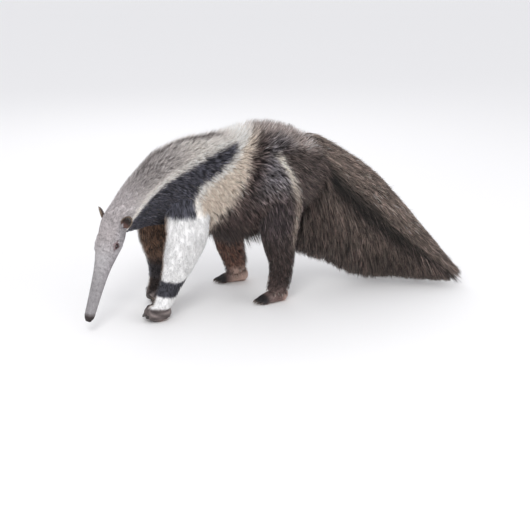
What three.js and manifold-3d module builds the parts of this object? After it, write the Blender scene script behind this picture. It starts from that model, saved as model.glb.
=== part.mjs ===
// Giant anteater standing with its head lowered, life size, in millimetres.
// The head points along -X, the animal's left side along -Y, and the soles rest on Z = 0.
import * as THREE from 'three';
import { mergeVertices } from 'three/addons/utils/BufferGeometryUtils.js';
import Module from 'manifold-3d';

const wasm = await Module();
wasm.setup();

const vec = (x, y, z) => new THREE.Vector3(x, y, z);
const rad = THREE.MathUtils.degToRad;
const { lerp, seededRandom } = THREE.MathUtils;

// Driving dimensions: the gap left between nodes that touch, the share of the coat's depth that a
// node's core fills, how deep a lock's root is sunk, and the coat's depth that counts as long.
const GAP = 0.3;
const CORE = 0.4;
const SINK = 10;
const LONG_COAT = 18;
const WELD = 1e-4;
// A grown lock's tip moves out by this many times the growth, as it is narrow.
const TIP_GROWTH = 6;
// A lock nearer the crest or the keel than this, in degrees, stands alone on the middle line.
const STEEP = 85;

// The head's axis runs from the nose tip to a point between the ears.
const NOSE = vec(-453, -123, 47);
const EARS = vec(-328, -42, 322);
const HEAD_TURN = 28;
// Along the head: distance from the nose tip, half height above and below, half width.
const HEAD = [
  [2, 9, 8, 9.5],
  [11, 14, 13, 14.5],
  [30, 16, 15.5, 16],
  [70, 19.5, 17.5, 17],
  [110, 22.5, 19.5, 19],
  [150, 26, 22.5, 22],
  [182, 30, 26.5, 27],
  [210, 34, 31, 34],
  [242, 36, 36.5, 41],
  [270, 37, 40, 43],
];
// Eyes sit at the sides of the head, deep enough for lids to frame them. The lids are one swelling
// round the eye, cut open by a slit.
const EYE = {
  distance: 242, lift: 16, radius: 7.4, sink: 3, lids: [12.3, 10.3, 9.8], slit: [7.3, 4.1, 12], open: 4,
};
// Ear cups stand out from the sides of the crown and open forward and outward.
// The cup's face and its tip are directions out, back along the neck and up.
const EAR = {
  past: -2, angle: 6, tall: 22, wide: 15, deep: 9, wall: 2.4, lean: 16,
  face: [0.6, -0.6, 0.4], tip: [0.9, 0.85, 0.7],
};
// The snout ends in two side nostrils over a short mouth line between thin lips.
const NOSTRIL = { distance: 5, out: 9, above: 4, radii: [3.4, 4.4, 2.2] };
const MOUTH = { distance: 12, below: 6.5, ahead: 6, slit: [19, 1, 17], lips: [17, 3.6, 14.4] };
// Along the spine: place, half height above and below and half width of the skin, the coat's depth
// on the crest, the flank and the belly, and the turn of the section to the left.
const SPINE = [
  { at: [-328, -42, 322], half: [38, 45, 43], coat: [3, 4, 4], turn: 25 },
  { at: [-277, -27, 352], half: [56, 64, 57], coat: [8, 7, 8], turn: 16 },
  { at: [-205, -12, 385], half: [81, 92, 76], coat: [15, 9, 12], turn: 8 },
  { at: [-115, -2, 410], half: [112, 120, 100], coat: [27, 11, 16], turn: 0 },
  { at: [-20, 0, 414], half: [124, 142, 116], coat: [34, 15, 26], turn: 0 },
  { at: [80, 0, 404], half: [134, 152, 124], coat: [42, 22, 38], turn: 0 },
  { at: [180, 0, 398], half: [140, 142, 126], coat: [48, 28, 42], turn: 0 },
  { at: [270, -3, 396], half: [126, 118, 116], coat: [50, 32, 40], turn: 0 },
  { at: [336, -8, 402], half: [100, 92, 88], coat: [50, 34, 40], turn: 0 },
  { at: [388, -14, 414], half: [72, 62, 56], coat: [48, 34, 36], turn: 0 },
];
// Along the tail's core: place, half sizes of the skin and the coat on top, sides and bottom.
const TAIL = [
  { at: [318, -4, 446], half: [50, 52, 48], coat: [34, 30, 60], turn: 0 },
  { at: [376, -12, 434], half: [46, 48, 44], coat: [36, 30, 70], turn: 0 },
  { at: [446, -26, 396], half: [38, 40, 38], coat: [38, 30, 80], turn: 4 },
  { at: [522, -46, 346], half: [31, 33, 31], coat: [38, 30, 80], turn: 8 },
  { at: [590, -74, 286], half: [26, 28, 26], coat: [38, 30, 70], turn: 14 },
  { at: [652, -110, 216], half: [21, 22, 21], coat: [34, 28, 50], turn: 20 },
  { at: [710, -148, 146], half: [16, 17, 16], coat: [28, 24, 30], turn: 24 },
  { at: [758, -182, 92], half: [9, 9, 9], coat: [20, 18, 20], turn: 28 },
];
// The tail's hair out to its tips, as upright sections: place, half height above and below, half width.
const CURTAIN = [
  { at: [296, 0, 330], half: [180, 185, 80], coat: [0, 0, 0], turn: 0 },
  { at: [336, -6, 330], half: [210, 202, 92], coat: [0, 0, 0], turn: 2 },
  { at: [380, -12, 322], half: [222, 212, 98], coat: [0, 0, 0], turn: 4 },
  { at: [440, -24, 296], half: [211, 212, 100], coat: [0, 0, 0], turn: 8 },
  { at: [510, -42, 252], half: [209, 208, 94], coat: [0, 0, 0], turn: 14 },
  { at: [585, -70, 212], half: [190, 190, 86], coat: [0, 0, 0], turn: 20 },
  { at: [652, -106, 172], half: [150, 150, 74], coat: [0, 0, 0], turn: 26 },
  { at: [714, -148, 130], half: [104, 112, 60], coat: [0, 0, 0], turn: 30 },
  { at: [774, -193, 84], half: [64, 70, 42], coat: [0, 0, 0], turn: 32 },
  { at: [822, -228, 48], half: [30, 34, 24], coat: [0, 0, 0], turn: 34 },
];
// Legs from the root down to the ankle: place, half sizes behind, in front and sideways.
const LEGS = {
  fore_left: [
    { at: [-86, -62, 380], half: [70, 74, 40] },
    { at: [-104, -86, 310], half: [70, 72, 46] },
    { at: [-112, -96, 262], half: [64, 67, 46] },
    { at: [-130, -99, 212], half: [54, 60, 44] },
    { at: [-143, -99, 176], half: [45, 52, 40] },
    { at: [-162, -98, 136], half: [34, 40, 36] },
    { at: [-180, -97, 98], half: [29, 31, 32] },
    { at: [-195, -97, 66], half: [29, 30, 31] },
    { at: [-211, -97, 36], half: [26, 27, 27] },
  ],
  fore_right: [
    { at: [-100, 54, 384], half: [70, 72, 40] },
    { at: [-138, 66, 310], half: [68, 70, 44] },
    { at: [-155, 72, 250], half: [60, 58, 42] },
    { at: [-155, 75, 200], half: [48, 46, 38] },
    { at: [-152, 76, 150], half: [36, 31, 33] },
    { at: [-149, 76, 108], half: [28, 26, 29] },
    { at: [-154, 74, 70], half: [27, 26, 27] },
    { at: [-165, 71, 38], half: [26, 26, 27] },
  ],
  hind_left: [
    { at: [226, -66, 380], half: [84, 88, 44] },
    { at: [212, -92, 316], half: [78, 78, 50] },
    { at: [205, -108, 252], half: [62, 60, 46] },
    { at: [204, -114, 200], half: [50, 47, 42] },
    { at: [209, -114, 150], half: [41, 36, 36] },
    { at: [211, -109, 106], half: [35, 31, 32] },
    { at: [209, -104, 66], half: [32, 33, 30] },
    { at: [203, -102, 36], half: [29, 33, 28] },
  ],
  hind_right: [
    { at: [190, 74, 380], half: [88, 88, 44] },
    { at: [168, 98, 318], half: [80, 80, 50] },
    { at: [146, 116, 256], half: [62, 67, 46] },
    { at: [135, 128, 200], half: [50, 56, 42] },
    { at: [138, 136, 150], half: [46, 46, 36] },
    { at: [151, 141, 106], half: [40, 39, 32] },
    { at: [164, 145, 68], half: [37, 38, 30] },
    { at: [167, 146, 36], half: [31, 33, 28] },
  ],
};
// How far the domes at the ends of the body, the tail and the legs stand out.
const BODY_DOMES = [2, 14];
const TAIL_DOMES = [6, 12];
const LEG_DOMES = [10, 4];
const FOOT_DOMES = [3, 5];
const LEG_COAT = 10;
const KNEE = 165;

// Feet: the sole's centre, the way the toes point, then the shape from toes to heel as distance,
// height of the section's centre, half height and half width.
const FEET = {
  fore_left: { sole: [-218, -96], turn: 2, ankle: 64, front: 40 },
  fore_right: { sole: [-150, 74], turn: 6, ankle: 58, front: 38 },
  hind_left: { sole: [170, -102], turn: 4, ankle: 60, front: 34 },
  hind_right: { sole: [152, 146], turn: -8, ankle: 60, front: 50 },
};
const FIST = [
  [3, 24, 13, 19],
  [15, 26, 24, 29],
  [33, 27, 29, 33],
  [53, 26, 29, 32],
  [69, 22, 23, 26],
  [78, 18, 15, 16],
];
const PAW = [
  [3, 9, 7, 20],
  [16, 12, 12, 27],
  [38, 16, 17, 28],
  [60, 20, 22, 27],
  [79, 22, 24, 26],
  [93, 20, 22, 23],
  [101, 18, 15, 16],
];
// Toes by their centre (distance, across, height) and half sizes.
const TOES = {
  fore: [
    { at: [14, -17, 27], half: [13, 9, 14] },
    { at: [9, 0, 29], half: [14, 10, 16] },
    { at: [15, 18, 25], half: [12, 9, 13] },
  ],
  hind: [
    { at: [15, -20, 9], half: [12, 6, 8] },
    { at: [9, -10.5, 10], half: [14, 6.5, 9] },
    { at: [7, 0, 10], half: [14, 6.5, 9] },
    { at: [9, 10.5, 10], half: [13, 6.5, 9] },
    { at: [16, 20, 9], half: [12, 6, 8] },
  ],
};
// A hind claw: how far it is sunk, where it bends, how far it reaches, its splay and its tip's height.
const HIND_CLAW = {
  radius: 3.6, sides: 5, steps: 2, belly: 0.9, flat: 0.8, sunk: 6, bend: 5, reach: 13, splay: 0.04, tip: 3.5,
};
// The fore claws: how far they are sunk, how far they bow ahead and how far they drop, then each one's
// radius, the place of its root across the fist, its length round it and its height.
const FORE_CLAW = { sides: 6, steps: 3, belly: 0.9, flat: 0.8, sunk: 6, bow: 6, bent: 0.4, drop: 14 };
const FORE_CLAWS = [
  { radius: 6, root: 17, length: 30, z: 24 },
  { radius: 8, root: 2, length: 40, z: 27 },
  { radius: 5, root: -15, length: 22, z: 20 },
];

// Breadth of a lock at its root as a share of its width, how it swells before it tapers, and its bends.
const LOCK = { root: 0.8, belly: 2, steps: 2 };
const LONG_LOCK = { root: 0.5, belly: 2.9, steps: 3 };
// A lock's line runs through a point at this share of the coat's depth, and a long lock's through one
// at this share of its length, raised by that share of it.
const ARCH = 1.05;
const LONG_BEND = { at: 0.42, rise: 0.16 };
// Coat rows on the torso, counted in stations: first and last row, how far a lock reaches back, how
// many degrees it falls round the flank, the degrees from one lock to the next, and a lock's width as
// a share of the room between them.
const TORSO_COAT = {
  first: 13.2, last: 18.5, rows: 6, reach: 1.5, fall: 17, step: 30, cover: 1.12, thick: 9, seed: 11,
};
// The legs' roots cover these stretches of the flank below the elevation given third.
const UNDER_LEGS = [[12.4, 14.3, 12], [15.9, 17.9, -12]];
// Fringe under the rump: rows in stations of the body, elevations of the roots and the tips, and the
// curtain's stations that each row's tips reach.
const RUMP_FRINGE = {
  stations: [18, 18.4, 18.8], roots: [-10, -66], tips: [-38, -76], ends: [0.3, 1.2, 2.2], width: 74, thick: 9,
};
// Each row of the mane is a station and the angles of its locks from the left over the top.
const NECK_MANE = {
  rows: [[11.9, [72, 108]], [12.4, [56, 90, 124]]], reach: 1, width: 40, thick: 7,
};
const TAIL_COAT = { first: 0.8, last: 6.6, rows: 8, width: 70, thick: 9, seed: 23 };
// Tail locks grow all round the core: the upper ones lie back over it, the others hang to the fringe.
// Each is the elevation at its root, the elevation of its tip, how far back that lies, and how far its
// rows are set back from the first ones. Tufts past the last row close the tail's end.
const TAIL_LOCKS = [
  { root: 90, tip: 90, back: 1.3, set: 0 },
  { root: 44, tip: 50, back: 1.1, set: 0.5 },
  { root: 4, tip: -8, back: 0.6, set: 0 },
  { root: -38, tip: -60, back: 0.15, set: 0.5 },
  { root: -88, tip: -88, back: 0.05, set: 0 },
];
const TAIL_END = { angles: [-75, -5], width: 44, at: 0.94, sink: 6 };
// The curtain's sections are counted from one station further forward than the tail's, and its locks
// lean back more toward the tail's end.
const CURTAIN_LEAD = 1;
const LEAN = 0.4;
const LEG_LOCKS = {
  hind: { first: 1.7, last: 3, rows: 2, reach: 1.5, angles: [-10, 45, 100], width: 56, thick: 8 },
  fore: { first: 2, last: 3.2, rows: 2, reach: 1, angles: [90], width: 34, thick: 7 },
  stagger: 20,
};

// Geometry to solid and back. A mesh whose faces point in is turned over.
function solidOf(geometry) {
  const bare = new THREE.BufferGeometry();
  bare.setAttribute('position', geometry.attributes.position);
  if (geometry.index) {
    bare.setIndex(geometry.index);
  }
  const welded = mergeVertices(bare, WELD);
  const points = new Float32Array(welded.attributes.position.array);
  const faces = new Uint32Array(welded.index.array);
  const corner = (k) => vec(points[3 * k], points[3 * k + 1], points[3 * k + 2]);
  let volume = 0;
  for (let i = 0; i < faces.length; i += 3) {
    volume += corner(faces[i]).dot(corner(faces[i + 1]).cross(corner(faces[i + 2])));
  }
  if (volume < 0) {
    for (let i = 0; i < faces.length; i += 3) {
      [faces[i], faces[i + 1]] = [faces[i + 1], faces[i]];
    }
  }
  return new wasm.Manifold(new wasm.Mesh({ numProp: 3, vertProperties: points, triVerts: faces }));
}

function geometryOf(solid) {
  const { vertProperties, triVerts } = solid.getMesh();
  const geometry = new THREE.BufferGeometry();
  geometry.setAttribute('position', new THREE.BufferAttribute(vertProperties, 3));
  geometry.setIndex(new THREE.BufferAttribute(triVerts, 1));
  geometry.computeVertexNormals();
  return geometry;
}

function joined(solids) {
  return solids.reduce((whole, solid) => whole.add(solid));
}

function largest(solid) {
  const pieces = solid.decompose();
  return pieces.reduce((best, piece) => (piece.volume() > best.volume() ? piece : best));
}

// Keeps the side of the plane that its normal points to.
function keepSide(solid, plane, shift = 0) {
  return solid.trimByPlane(plane.normal.toArray(), plane.normal.dot(plane.point) + shift);
}

// A run of stations, read at any place between 0 and 1 with every size blended alike.
class Run {
  constructor(stations, upright = false) {
    this.upright = upright;
    const curve = (values) => new THREE.CatmullRomCurve3(values, false, 'catmullrom', 0.5);
    this.last = stations.length - 1;
    this.centre = curve(stations.map((s) => vec(...s.at)));
    this.half = curve(stations.map((s) => vec(...s.half)));
    this.coat = curve(stations.map((s) => vec(...(s.coat ?? [LEG_COAT, LEG_COAT, LEG_COAT]))));
    this.turn = curve(stations.map((s) => vec(s.turn ?? 0, 0, 0)));
  }

  // The section at t: its centre, its axis and the directions to the left and up across it.
  section(t) {
    const axis = this.centre.getTangent(t);
    if (this.upright) {
      axis.setZ(0).normalize();
    }
    const turn = rad(this.turn.getPoint(t).x);
    const left = vec(Math.sin(turn), -Math.cos(turn), 0);
    left.addScaledVector(axis, -left.dot(axis)).normalize();
    const up = vec(0, 0, 0).crossVectors(left, axis);
    return { centre: this.centre.getPoint(t), axis, left, up, half: this.half.getPoint(t),
      coat: this.coat.getPoint(t) };
  }

  // The point of the surface at t and at an angle from the left side over the top.
  surface(t, angle, share, grow) {
    const { centre, left, up, half, coat } = this.section(t);
    const rise = Math.sin(angle);
    const upper = rise > 0;
    const edge = lerp(coat.y, upper ? coat.x : coat.z, Math.abs(rise));
    const across = (half.z + share * edge + grow) * Math.cos(angle);
    const height = ((upper ? half.x : half.y) + share * edge + grow) * rise;
    return centre.addScaledVector(left, across).addScaledVector(up, height);
  }
}

// A closed skin over a run. Each end is a low dome of the given height.
function loft(run, { around, steps, share, grow, domes }) {
  const rows = run.last * steps + 2;
  const geometry = new THREE.SphereGeometry(1, around, rows);
  const place = geometry.attributes.position;
  for (let i = 0; i < place.count; i += 1) {
    const row = Math.floor(i / (around + 1));
    const angle = (2 * Math.PI * ((i % (around + 1)) % around)) / around;
    const t = THREE.MathUtils.clamp((row - 1) / (rows - 2), 0, 1);
    let point = run.surface(t, angle, share, grow);
    if (row === 0 || row === rows) {
      const { centre, axis } = run.section(t);
      const side = row === 0 ? -1 : 1;
      point = centre.addScaledVector(axis, side * (domes[row === 0 ? 0 : 1] + grow));
    }
    place.setXYZ(i, point.x, point.y, point.z);
  }
  return solidOf(geometry);
}

// An ellipsoid with its axes along the three directions of a frame.
function ellipsoid(centre, axes, radii, around = 12, rows = 8) {
  const geometry = new THREE.SphereGeometry(1, around, rows);
  geometry.scale(...radii);
  geometry.applyMatrix4(new THREE.Matrix4().makeBasis(...axes).setPosition(centre));
  return solidOf(geometry);
}

// A claw: a round horn, a little flattened, that narrows to a point along a curve.
function horn(curve, { radius, sides, steps, belly, flat }, grow) {
  const geometry = new THREE.CylinderGeometry(0, 1, 1, sides, steps);
  const place = geometry.attributes.position;
  for (let i = 0; i < place.count; i += 1) {
    const t = place.getY(i) + 0.5;
    const centre = curve.getPoint(t);
    const axis = curve.getTangent(t);
    const side = vec(0, 0, 1).cross(axis).normalize();
    const over = axis.clone().cross(side);
    const fill = (radius + grow) * (1 + belly * t);
    centre.addScaledVector(side, place.getX(i) * fill * flat).addScaledVector(over, place.getZ(i) * fill);
    place.setXYZ(i, centre.x, centre.y, centre.z);
  }
  return solidOf(geometry);
}

// One lock of hair: a flat, pointed blade of four sides along a bent line, its flat face turned outward.
function lock([root, middle, tip], outward, { width, thick, shape = LOCK }, grow) {
  const line = new THREE.QuadraticBezierCurve3(root, middle, tip);
  const ahead = tip.clone().sub(line.getPoint(1 - 1 / shape.steps)).normalize();
  const geometry = new THREE.CylinderGeometry(0, 1, 1, 4, shape.steps);
  const place = geometry.attributes.position;
  for (let i = 0; i < place.count; i += 1) {
    const t = place.getY(i) + 0.5;
    const along = line.getTangent(t);
    const side = along.clone().cross(outward).normalize();
    const over = side.clone().cross(along);
    const fill = shape.root + shape.belly * t;
    const point = line.getPoint(t);
    point.addScaledVector(side, place.getX(i) * (width / 2 + grow) * fill);
    point.addScaledVector(over, place.getZ(i) * (thick / 2 + grow) * fill);
    point.addScaledVector(ahead, t === 1 ? TIP_GROWTH * grow : 0);
    place.setXYZ(i, point.x, point.y, point.z);
  }
  return solidOf(geometry);
}

// A lock's line from its root on a run's core to its tip at full depth of the coat.
function lockOnRun(run, from, to, size, grow) {
  const middle = run.surface((from.t + to.t) / 2, (from.angle + to.angle) / 2, ARCH, 0);
  const root = run.surface(from.t, from.angle, CORE, -SINK);
  const tip = run.surface(to.t, to.angle, 1, 0);
  const outward = middle.clone().sub(run.section((from.t + to.t) / 2).centre);
  return lock([root, middle, tip], outward, size, grow);
}

const jitter = (amount) => amount * (2 * seededRandom() - 1);

const headAxis = EARS.clone().sub(NOSE).normalize();
const headStations = HEAD.map(([distance, above, below, wide]) => ({
  at: NOSE.clone().addScaledVector(headAxis, distance).toArray(),
  half: [above, below, wide],
  coat: [0, 0, 0],
  turn: HEAD_TURN,
}));
const body = new Run([...headStations, ...SPINE]);
const tail = new Run(TAIL);
const curtain = new Run(CURTAIN, true);
const BODY_STATIONS = headStations.length + SPINE.length - 1;

// Cuts across the body, at places counted in stations from the nose.
const cutAt = (station) => {
  const { centre, axis } = body.section(station / BODY_STATIONS);
  return { point: centre, normal: axis };
};
const NAPE = cutAt(headStations.length + 0.5);
const WITHERS = cutAt(headStations.length + 2.5);
const flip = (plane) => ({ point: plane.point, normal: plane.normal.clone().negate() });

function wholeBody(grow) {
  return loft(body, { around: 18, steps: 2, share: CORE, grow, domes: BODY_DOMES });
}

function eyeFrame(side) {
  const t = HEAD.findIndex(([distance]) => distance === EYE.distance) / BODY_STATIONS;
  const { centre, axis, left, up, half } = body.section(t);
  const [wide, high] = [Math.cos(rad(EYE.lift)), Math.sin(rad(EYE.lift))];
  const out = left.clone().multiplyScalar(side * wide).addScaledVector(up, high);
  const reach = 1 / Math.hypot(wide / half.z, high / half.x);
  const along = axis.clone().negate();
  const over = out.clone().cross(along).normalize().multiplyScalar(side);
  return { centre: centre.addScaledVector(out, reach - EYE.sink), out, along, over };
}

function eye(side, grow = 0) {
  const { centre, out, along } = eyeFrame(side);
  const radius = EYE.radius + grow;
  return ellipsoid(centre, [along, out.clone().cross(along), out], [radius, radius, radius], 10, 7);
}

function earFrame(side) {
  const base = headStations.length / BODY_STATIONS;
  const { centre, axis, left, up, half } = body.section(base);
  const angle = rad(EAR.angle);
  const out = left.clone().multiplyScalar(side * Math.cos(angle)).addScaledVector(up, Math.sin(angle));
  const toward = ([a, b, c]) => out.clone().multiplyScalar(a).addScaledVector(axis, b).addScaledVector(up, c);
  const face = toward(EAR.face);
  const tip = toward(EAR.tip);
  face.addScaledVector(tip, -face.dot(tip) / tip.lengthSq()).normalize();
  tip.normalize();
  centre.addScaledVector(axis, EAR.past);
  return { root: centre.addScaledVector(out, half.z), tip, face };
}

function ear(side) {
  const { root, tip, face } = earFrame(side);
  const axes = [face.clone().cross(tip), tip, face];
  const centre = root.clone().addScaledVector(tip, EAR.lean);
  const shell = ellipsoid(centre, axes, [EAR.wide, EAR.tall, EAR.deep], 10, 6);
  const cup = [EAR.wide - EAR.wall, EAR.tall - EAR.wall, EAR.deep];
  return shell.subtract(ellipsoid(centre.addScaledVector(face, EAR.deep / 2), axes, cup, 10, 6));
}

function head() {
  const { axis, left, up } = body.section(1 / BODY_STATIONS);
  const at = (distance) => NOSE.clone().addScaledVector(headAxis, distance);
  const mouth = at(MOUTH.distance).addScaledVector(up, -MOUTH.below);
  const slit = mouth.clone().addScaledVector(axis, -MOUTH.ahead);
  let solid = keepSide(wholeBody(0), flip(NAPE), GAP / 2);
  solid = solid.add(ellipsoid(mouth, [axis, up, left], MOUTH.lips, 12, 6));
  solid = solid.subtract(ellipsoid(slit, [axis, up, left], MOUTH.slit, 12, 4));
  for (const side of [-1, 1]) {
    const nostril = at(NOSTRIL.distance).addScaledVector(left, side * NOSTRIL.out);
    nostril.addScaledVector(up, NOSTRIL.above);
    solid = solid.subtract(ellipsoid(nostril, [axis, up, left], NOSTRIL.radii, 6, 4));
    const { centre, out, along, over } = eyeFrame(side);
    const opening = centre.clone().addScaledVector(out, EYE.open);
    solid = solid.add(ellipsoid(centre, [along, over, out], EYE.lids, 12, 6));
    solid = solid.subtract(ellipsoid(opening, [along, over, out], EYE.slit, 10, 6));
  }
  return solid;
}

function neck() {
  const front = keepSide(wholeBody(0), NAPE, GAP / 2);
  return joined([keepSide(front, flip(WITHERS), GAP / 2), ...neckLocks(0)]);
}

const leftAngle = (elevation, side) => rad(side > 0 ? elevation : 180 - elevation);

// Locks of the torso in rows like shingles, each row set half a step round from the last one.
function torsoLocks(grow) {
  const { first, last, rows, reach, fall, step, cover, thick, seed } = TORSO_COAT;
  const locks = [];
  seededRandom(seed);
  for (let row = 0; row < rows; row += 1) {
    const station = lerp(first, last, row / (rows - 1));
    const { half, coat } = body.section(station / BODY_STATIONS);
    const room = (rad(step) * (half.x + half.y + 2 * half.z)) / 4;
    for (let elevation = 90 - ((row % 2) * step) / 2; elevation >= -90; elevation -= step) {
      const depth = lerp(coat.y, elevation > 0 ? coat.x : coat.z, Math.abs(Math.sin(rad(elevation))));
      const hidden = UNDER_LEGS.some(([a, b, low]) => station > a && station < b && elevation < low);
      for (const side of Math.abs(elevation) > STEEP ? [1] : [1, -1]) {
        const end = (station + reach + jitter(0.15)) / BODY_STATIONS;
        const lift = elevation + jitter(3);
        const drop = fall * Math.cos(rad(elevation));
        const from = { t: station / BODY_STATIONS, angle: leftAngle(lift, side) };
        const to = { t: Math.min(end, 1), angle: leftAngle(lift - drop, side) };
        const size = { width: cover * room + jitter(5), thick };
        if (!hidden && depth >= LONG_COAT) {
          locks.push(lockOnRun(body, from, to, size, grow));
        }
      }
    }
  }
  return locks;
}

// A long lock from a core to the curtain, bent outward.
function longLock(from, to, outward, width, thick, grow) {
  const middle = from.clone().lerp(to, LONG_BEND.at);
  middle.addScaledVector(outward.normalize(), LONG_BEND.rise * from.distanceTo(to));
  middle.z = Math.max(middle.z, to.z);
  return lock([from, middle, to], outward, { width, thick, shape: LONG_LOCK }, grow);
}

// Long locks hang from the buttocks between the thighs and the tail.
function rumpFringe(grow) {
  const { stations, roots, tips, ends, width, thick } = RUMP_FRINGE;
  const locks = [];
  stations.forEach((station, row) => {
    roots.forEach((elevation, k) => {
      for (const side of [1, -1]) {
        const t = station / BODY_STATIONS;
        const angle = leftAngle(elevation, side);
        const out = body.surface(t, angle, CORE, 0).sub(body.section(t).centre);
        const from = body.surface(t, angle, CORE, -SINK);
        const to = curtain.surface(ends[row] / (CURTAIN.length - 1), leftAngle(tips[k], side), 0, 0);
        locks.push(longLock(from, to, out, width, thick, grow));
      }
    });
  });
  return locks;
}

function neckLocks(grow) {
  const { rows, reach, width, thick } = NECK_MANE;
  return rows.flatMap(([station, angles]) => angles.map((angle) => {
    const from = { t: station / BODY_STATIONS, angle: rad(angle) };
    const to = { t: (station + reach) / BODY_STATIONS, angle: rad(angle) };
    return lockOnRun(body, from, to, { width, thick }, grow);
  }));
}

function torso(grow) {
  const core = keepSide(wholeBody(grow), WITHERS, GAP / 2 - grow);
  return joined([core, ...torsoLocks(grow), ...rumpFringe(grow)]);
}

function tailLocks(grow) {
  const { first, last, rows, width, thick, seed } = TAIL_COAT;
  const root = (t, angle) => tail.surface(t, angle, CORE, -SINK);
  const outward = (t, angle) => tail.surface(t, angle, CORE, 0).sub(tail.section(t).centre);
  const locks = [];
  seededRandom(seed);
  for (let row = 0; row < rows; row += 1) {
    for (const kind of TAIL_LOCKS) {
      const station = lerp(first, last, (row + kind.set) / rows);
      const t = station / (TAIL.length - 1);
      for (const side of Math.abs(kind.root) > STEEP ? [1] : [1, -1]) {
        const place = station + CURTAIN_LEAD + kind.back + jitter(0.2) + LEAN * t;
        const end = Math.min(place / (CURTAIN.length - 1), 1);
        const to = curtain.surface(end, leftAngle(kind.tip + jitter(4), side), 0, 0);
        const angle = leftAngle(kind.root, side);
        locks.push(longLock(root(t, angle), to, outward(t, angle), width + jitter(4), thick, grow));
      }
    }
  }
  for (const elevation of TAIL_END.angles) {
    for (const side of [1, -1]) {
      const angle = leftAngle(elevation, side);
      const from = tail.surface(TAIL_END.at, angle, CORE, -TAIL_END.sink);
      const out = outward(TAIL_END.at, angle);
      locks.push(longLock(from, curtain.surface(1, angle, 0, 0), out, TAIL_END.width, thick, grow));
    }
  }
  return locks;
}

function tailSolid() {
  const core = loft(tail, { around: 14, steps: 1, share: CORE, grow: 0, domes: TAIL_DOMES });
  return joined([core, ...tailLocks(0)]);
}

function legLocks(name, grow) {
  const set = LEG_LOCKS[name.startsWith('hind') ? 'hind' : 'fore'];
  const leg = new Run(LEGS[name]);
  const side = name.endsWith('left') ? 1 : -1;
  const locks = [];
  for (let row = 0; row < set.rows; row += 1) {
    const station = lerp(set.first, set.last, row / (set.rows - 1));
    for (const angle of set.angles) {
      const turned = leftAngle(angle + (row % 2) * LEG_LOCKS.stagger, side);
      const from = { t: station / leg.last, angle: turned };
      const to = { t: (station + set.reach) / leg.last, angle: turned };
      locks.push(lockOnRun(leg, from, to, { width: set.width, thick: set.thick }, grow));
    }
  }
  return locks;
}

// A foot's own frame: forward along the toes, left across, with the toes' tips at zero distance.
function footFrame(name) {
  const { sole, turn, front } = FEET[name];
  const back = vec(Math.cos(rad(turn)), Math.sin(rad(turn)), 0);
  const toes = vec(sole[0], sole[1], 0).addScaledVector(back, -front);
  const left = vec(Math.sin(rad(turn)), -Math.cos(rad(turn)), 0);
  return { back, left, at: (d, across, z) => toes.clone().addScaledVector(back, d)
    .addScaledVector(left, across).setZ(z) };
}

function limb(name, grow) {
  const hind = name.startsWith('hind');
  const leg = new Run(LEGS[name]);
  const { at, back, left } = footFrame(name);
  const shape = (hind ? PAW : FIST).map(([distance, z, high, wide]) => ({
    at: at(distance, 0, z).toArray(),
    half: [high, high, wide],
    turn: FEET[name].turn,
  }));
  const parts = [
    loft(leg, { around: 13, steps: 1, share: CORE, grow, domes: LEG_DOMES }),
    loft(new Run(shape), { around: 11, steps: 1, share: 0, grow, domes: FOOT_DOMES }),
  ];
  for (const toe of hind ? TOES.hind : TOES.fore) {
    const up = vec(0, 0, 1);
    parts.push(ellipsoid(at(toe.at[0], toe.at[1], toe.at[2]), [back, left, up], toe.half, 6, 4));
  }
  return joined(parts);
}

// Claws: hind claws point ahead and down, fore claws curl inward round the front of the fist.
function hindClaw(name, k) {
  const { at } = footFrame(name);
  const toe = TOES.hind[k];
  const { sunk, bend, reach, splay, tip } = HIND_CLAW;
  const [distance, across, z] = toe.at;
  const end = distance - toe.half[0];
  return new THREE.QuadraticBezierCurve3(at(end + sunk, across, z + 1),
    at(end - bend, across * (1 + splay), z + 2), at(end - reach, across * (1 + 2 * splay), tip));
}

function foreClaw(name, k) {
  const inner = name.endsWith('left') ? -1 : 1;
  const { at } = footFrame(name);
  const { root, length, z } = FORE_CLAWS[k];
  const { sunk, bow, bent, drop } = FORE_CLAW;
  const start = -inner * root;
  const bend = at(-bow, start + inner * bent * length, z - drop / 2);
  return new THREE.QuadraticBezierCurve3(at(sunk, start, z), bend,
    at(bow + length / 4, start + inner * length, z - drop));
}

const COLOURS = {
  fur: '#b9b2ad', dark: '#2b2426', white: '#e9e6e2', tail: '#3a302b', skin: '#8d8480',
  eye: '#120d0c', claw: '#4a4440', ear: '#6e625b',
};

const group = new THREE.Group();
function addNode(name, solid, colour, roughness = 0.9) {
  const mesh = new THREE.Mesh(geometryOf(largest(solid)), new THREE.MeshStandardMaterial({ color: colour,
    roughness, metalness: 0 }));
  mesh.name = name;
  group.add(mesh);
}

const SIDES = [['left', 1], ['right', -1]];
for (const [name, side] of SIDES) {
  addNode(`eye_${name}`, eye(side), COLOURS.eye, 0.1);
}
addNode('head', SIDES.reduce((solid, [, side]) => solid.subtract(eye(side, GAP)), head()), COLOURS.fur);
const headSpace = keepSide(wholeBody(GAP), flip(NAPE), -GAP / 2);
for (const [name, side] of SIDES) {
  addNode(`ear_${name}`, ear(side).subtract(headSpace), COLOURS.ear);
}
addNode('neck', neck(), COLOURS.fur);
const neckSpace = joined(neckLocks(GAP));
addNode('torso', torso(0).subtract(neckSpace), COLOURS.dark);
const trunkSpace = joined([wholeBody(GAP), neckSpace, ...torsoLocks(GAP), ...rumpFringe(GAP)]);

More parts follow.
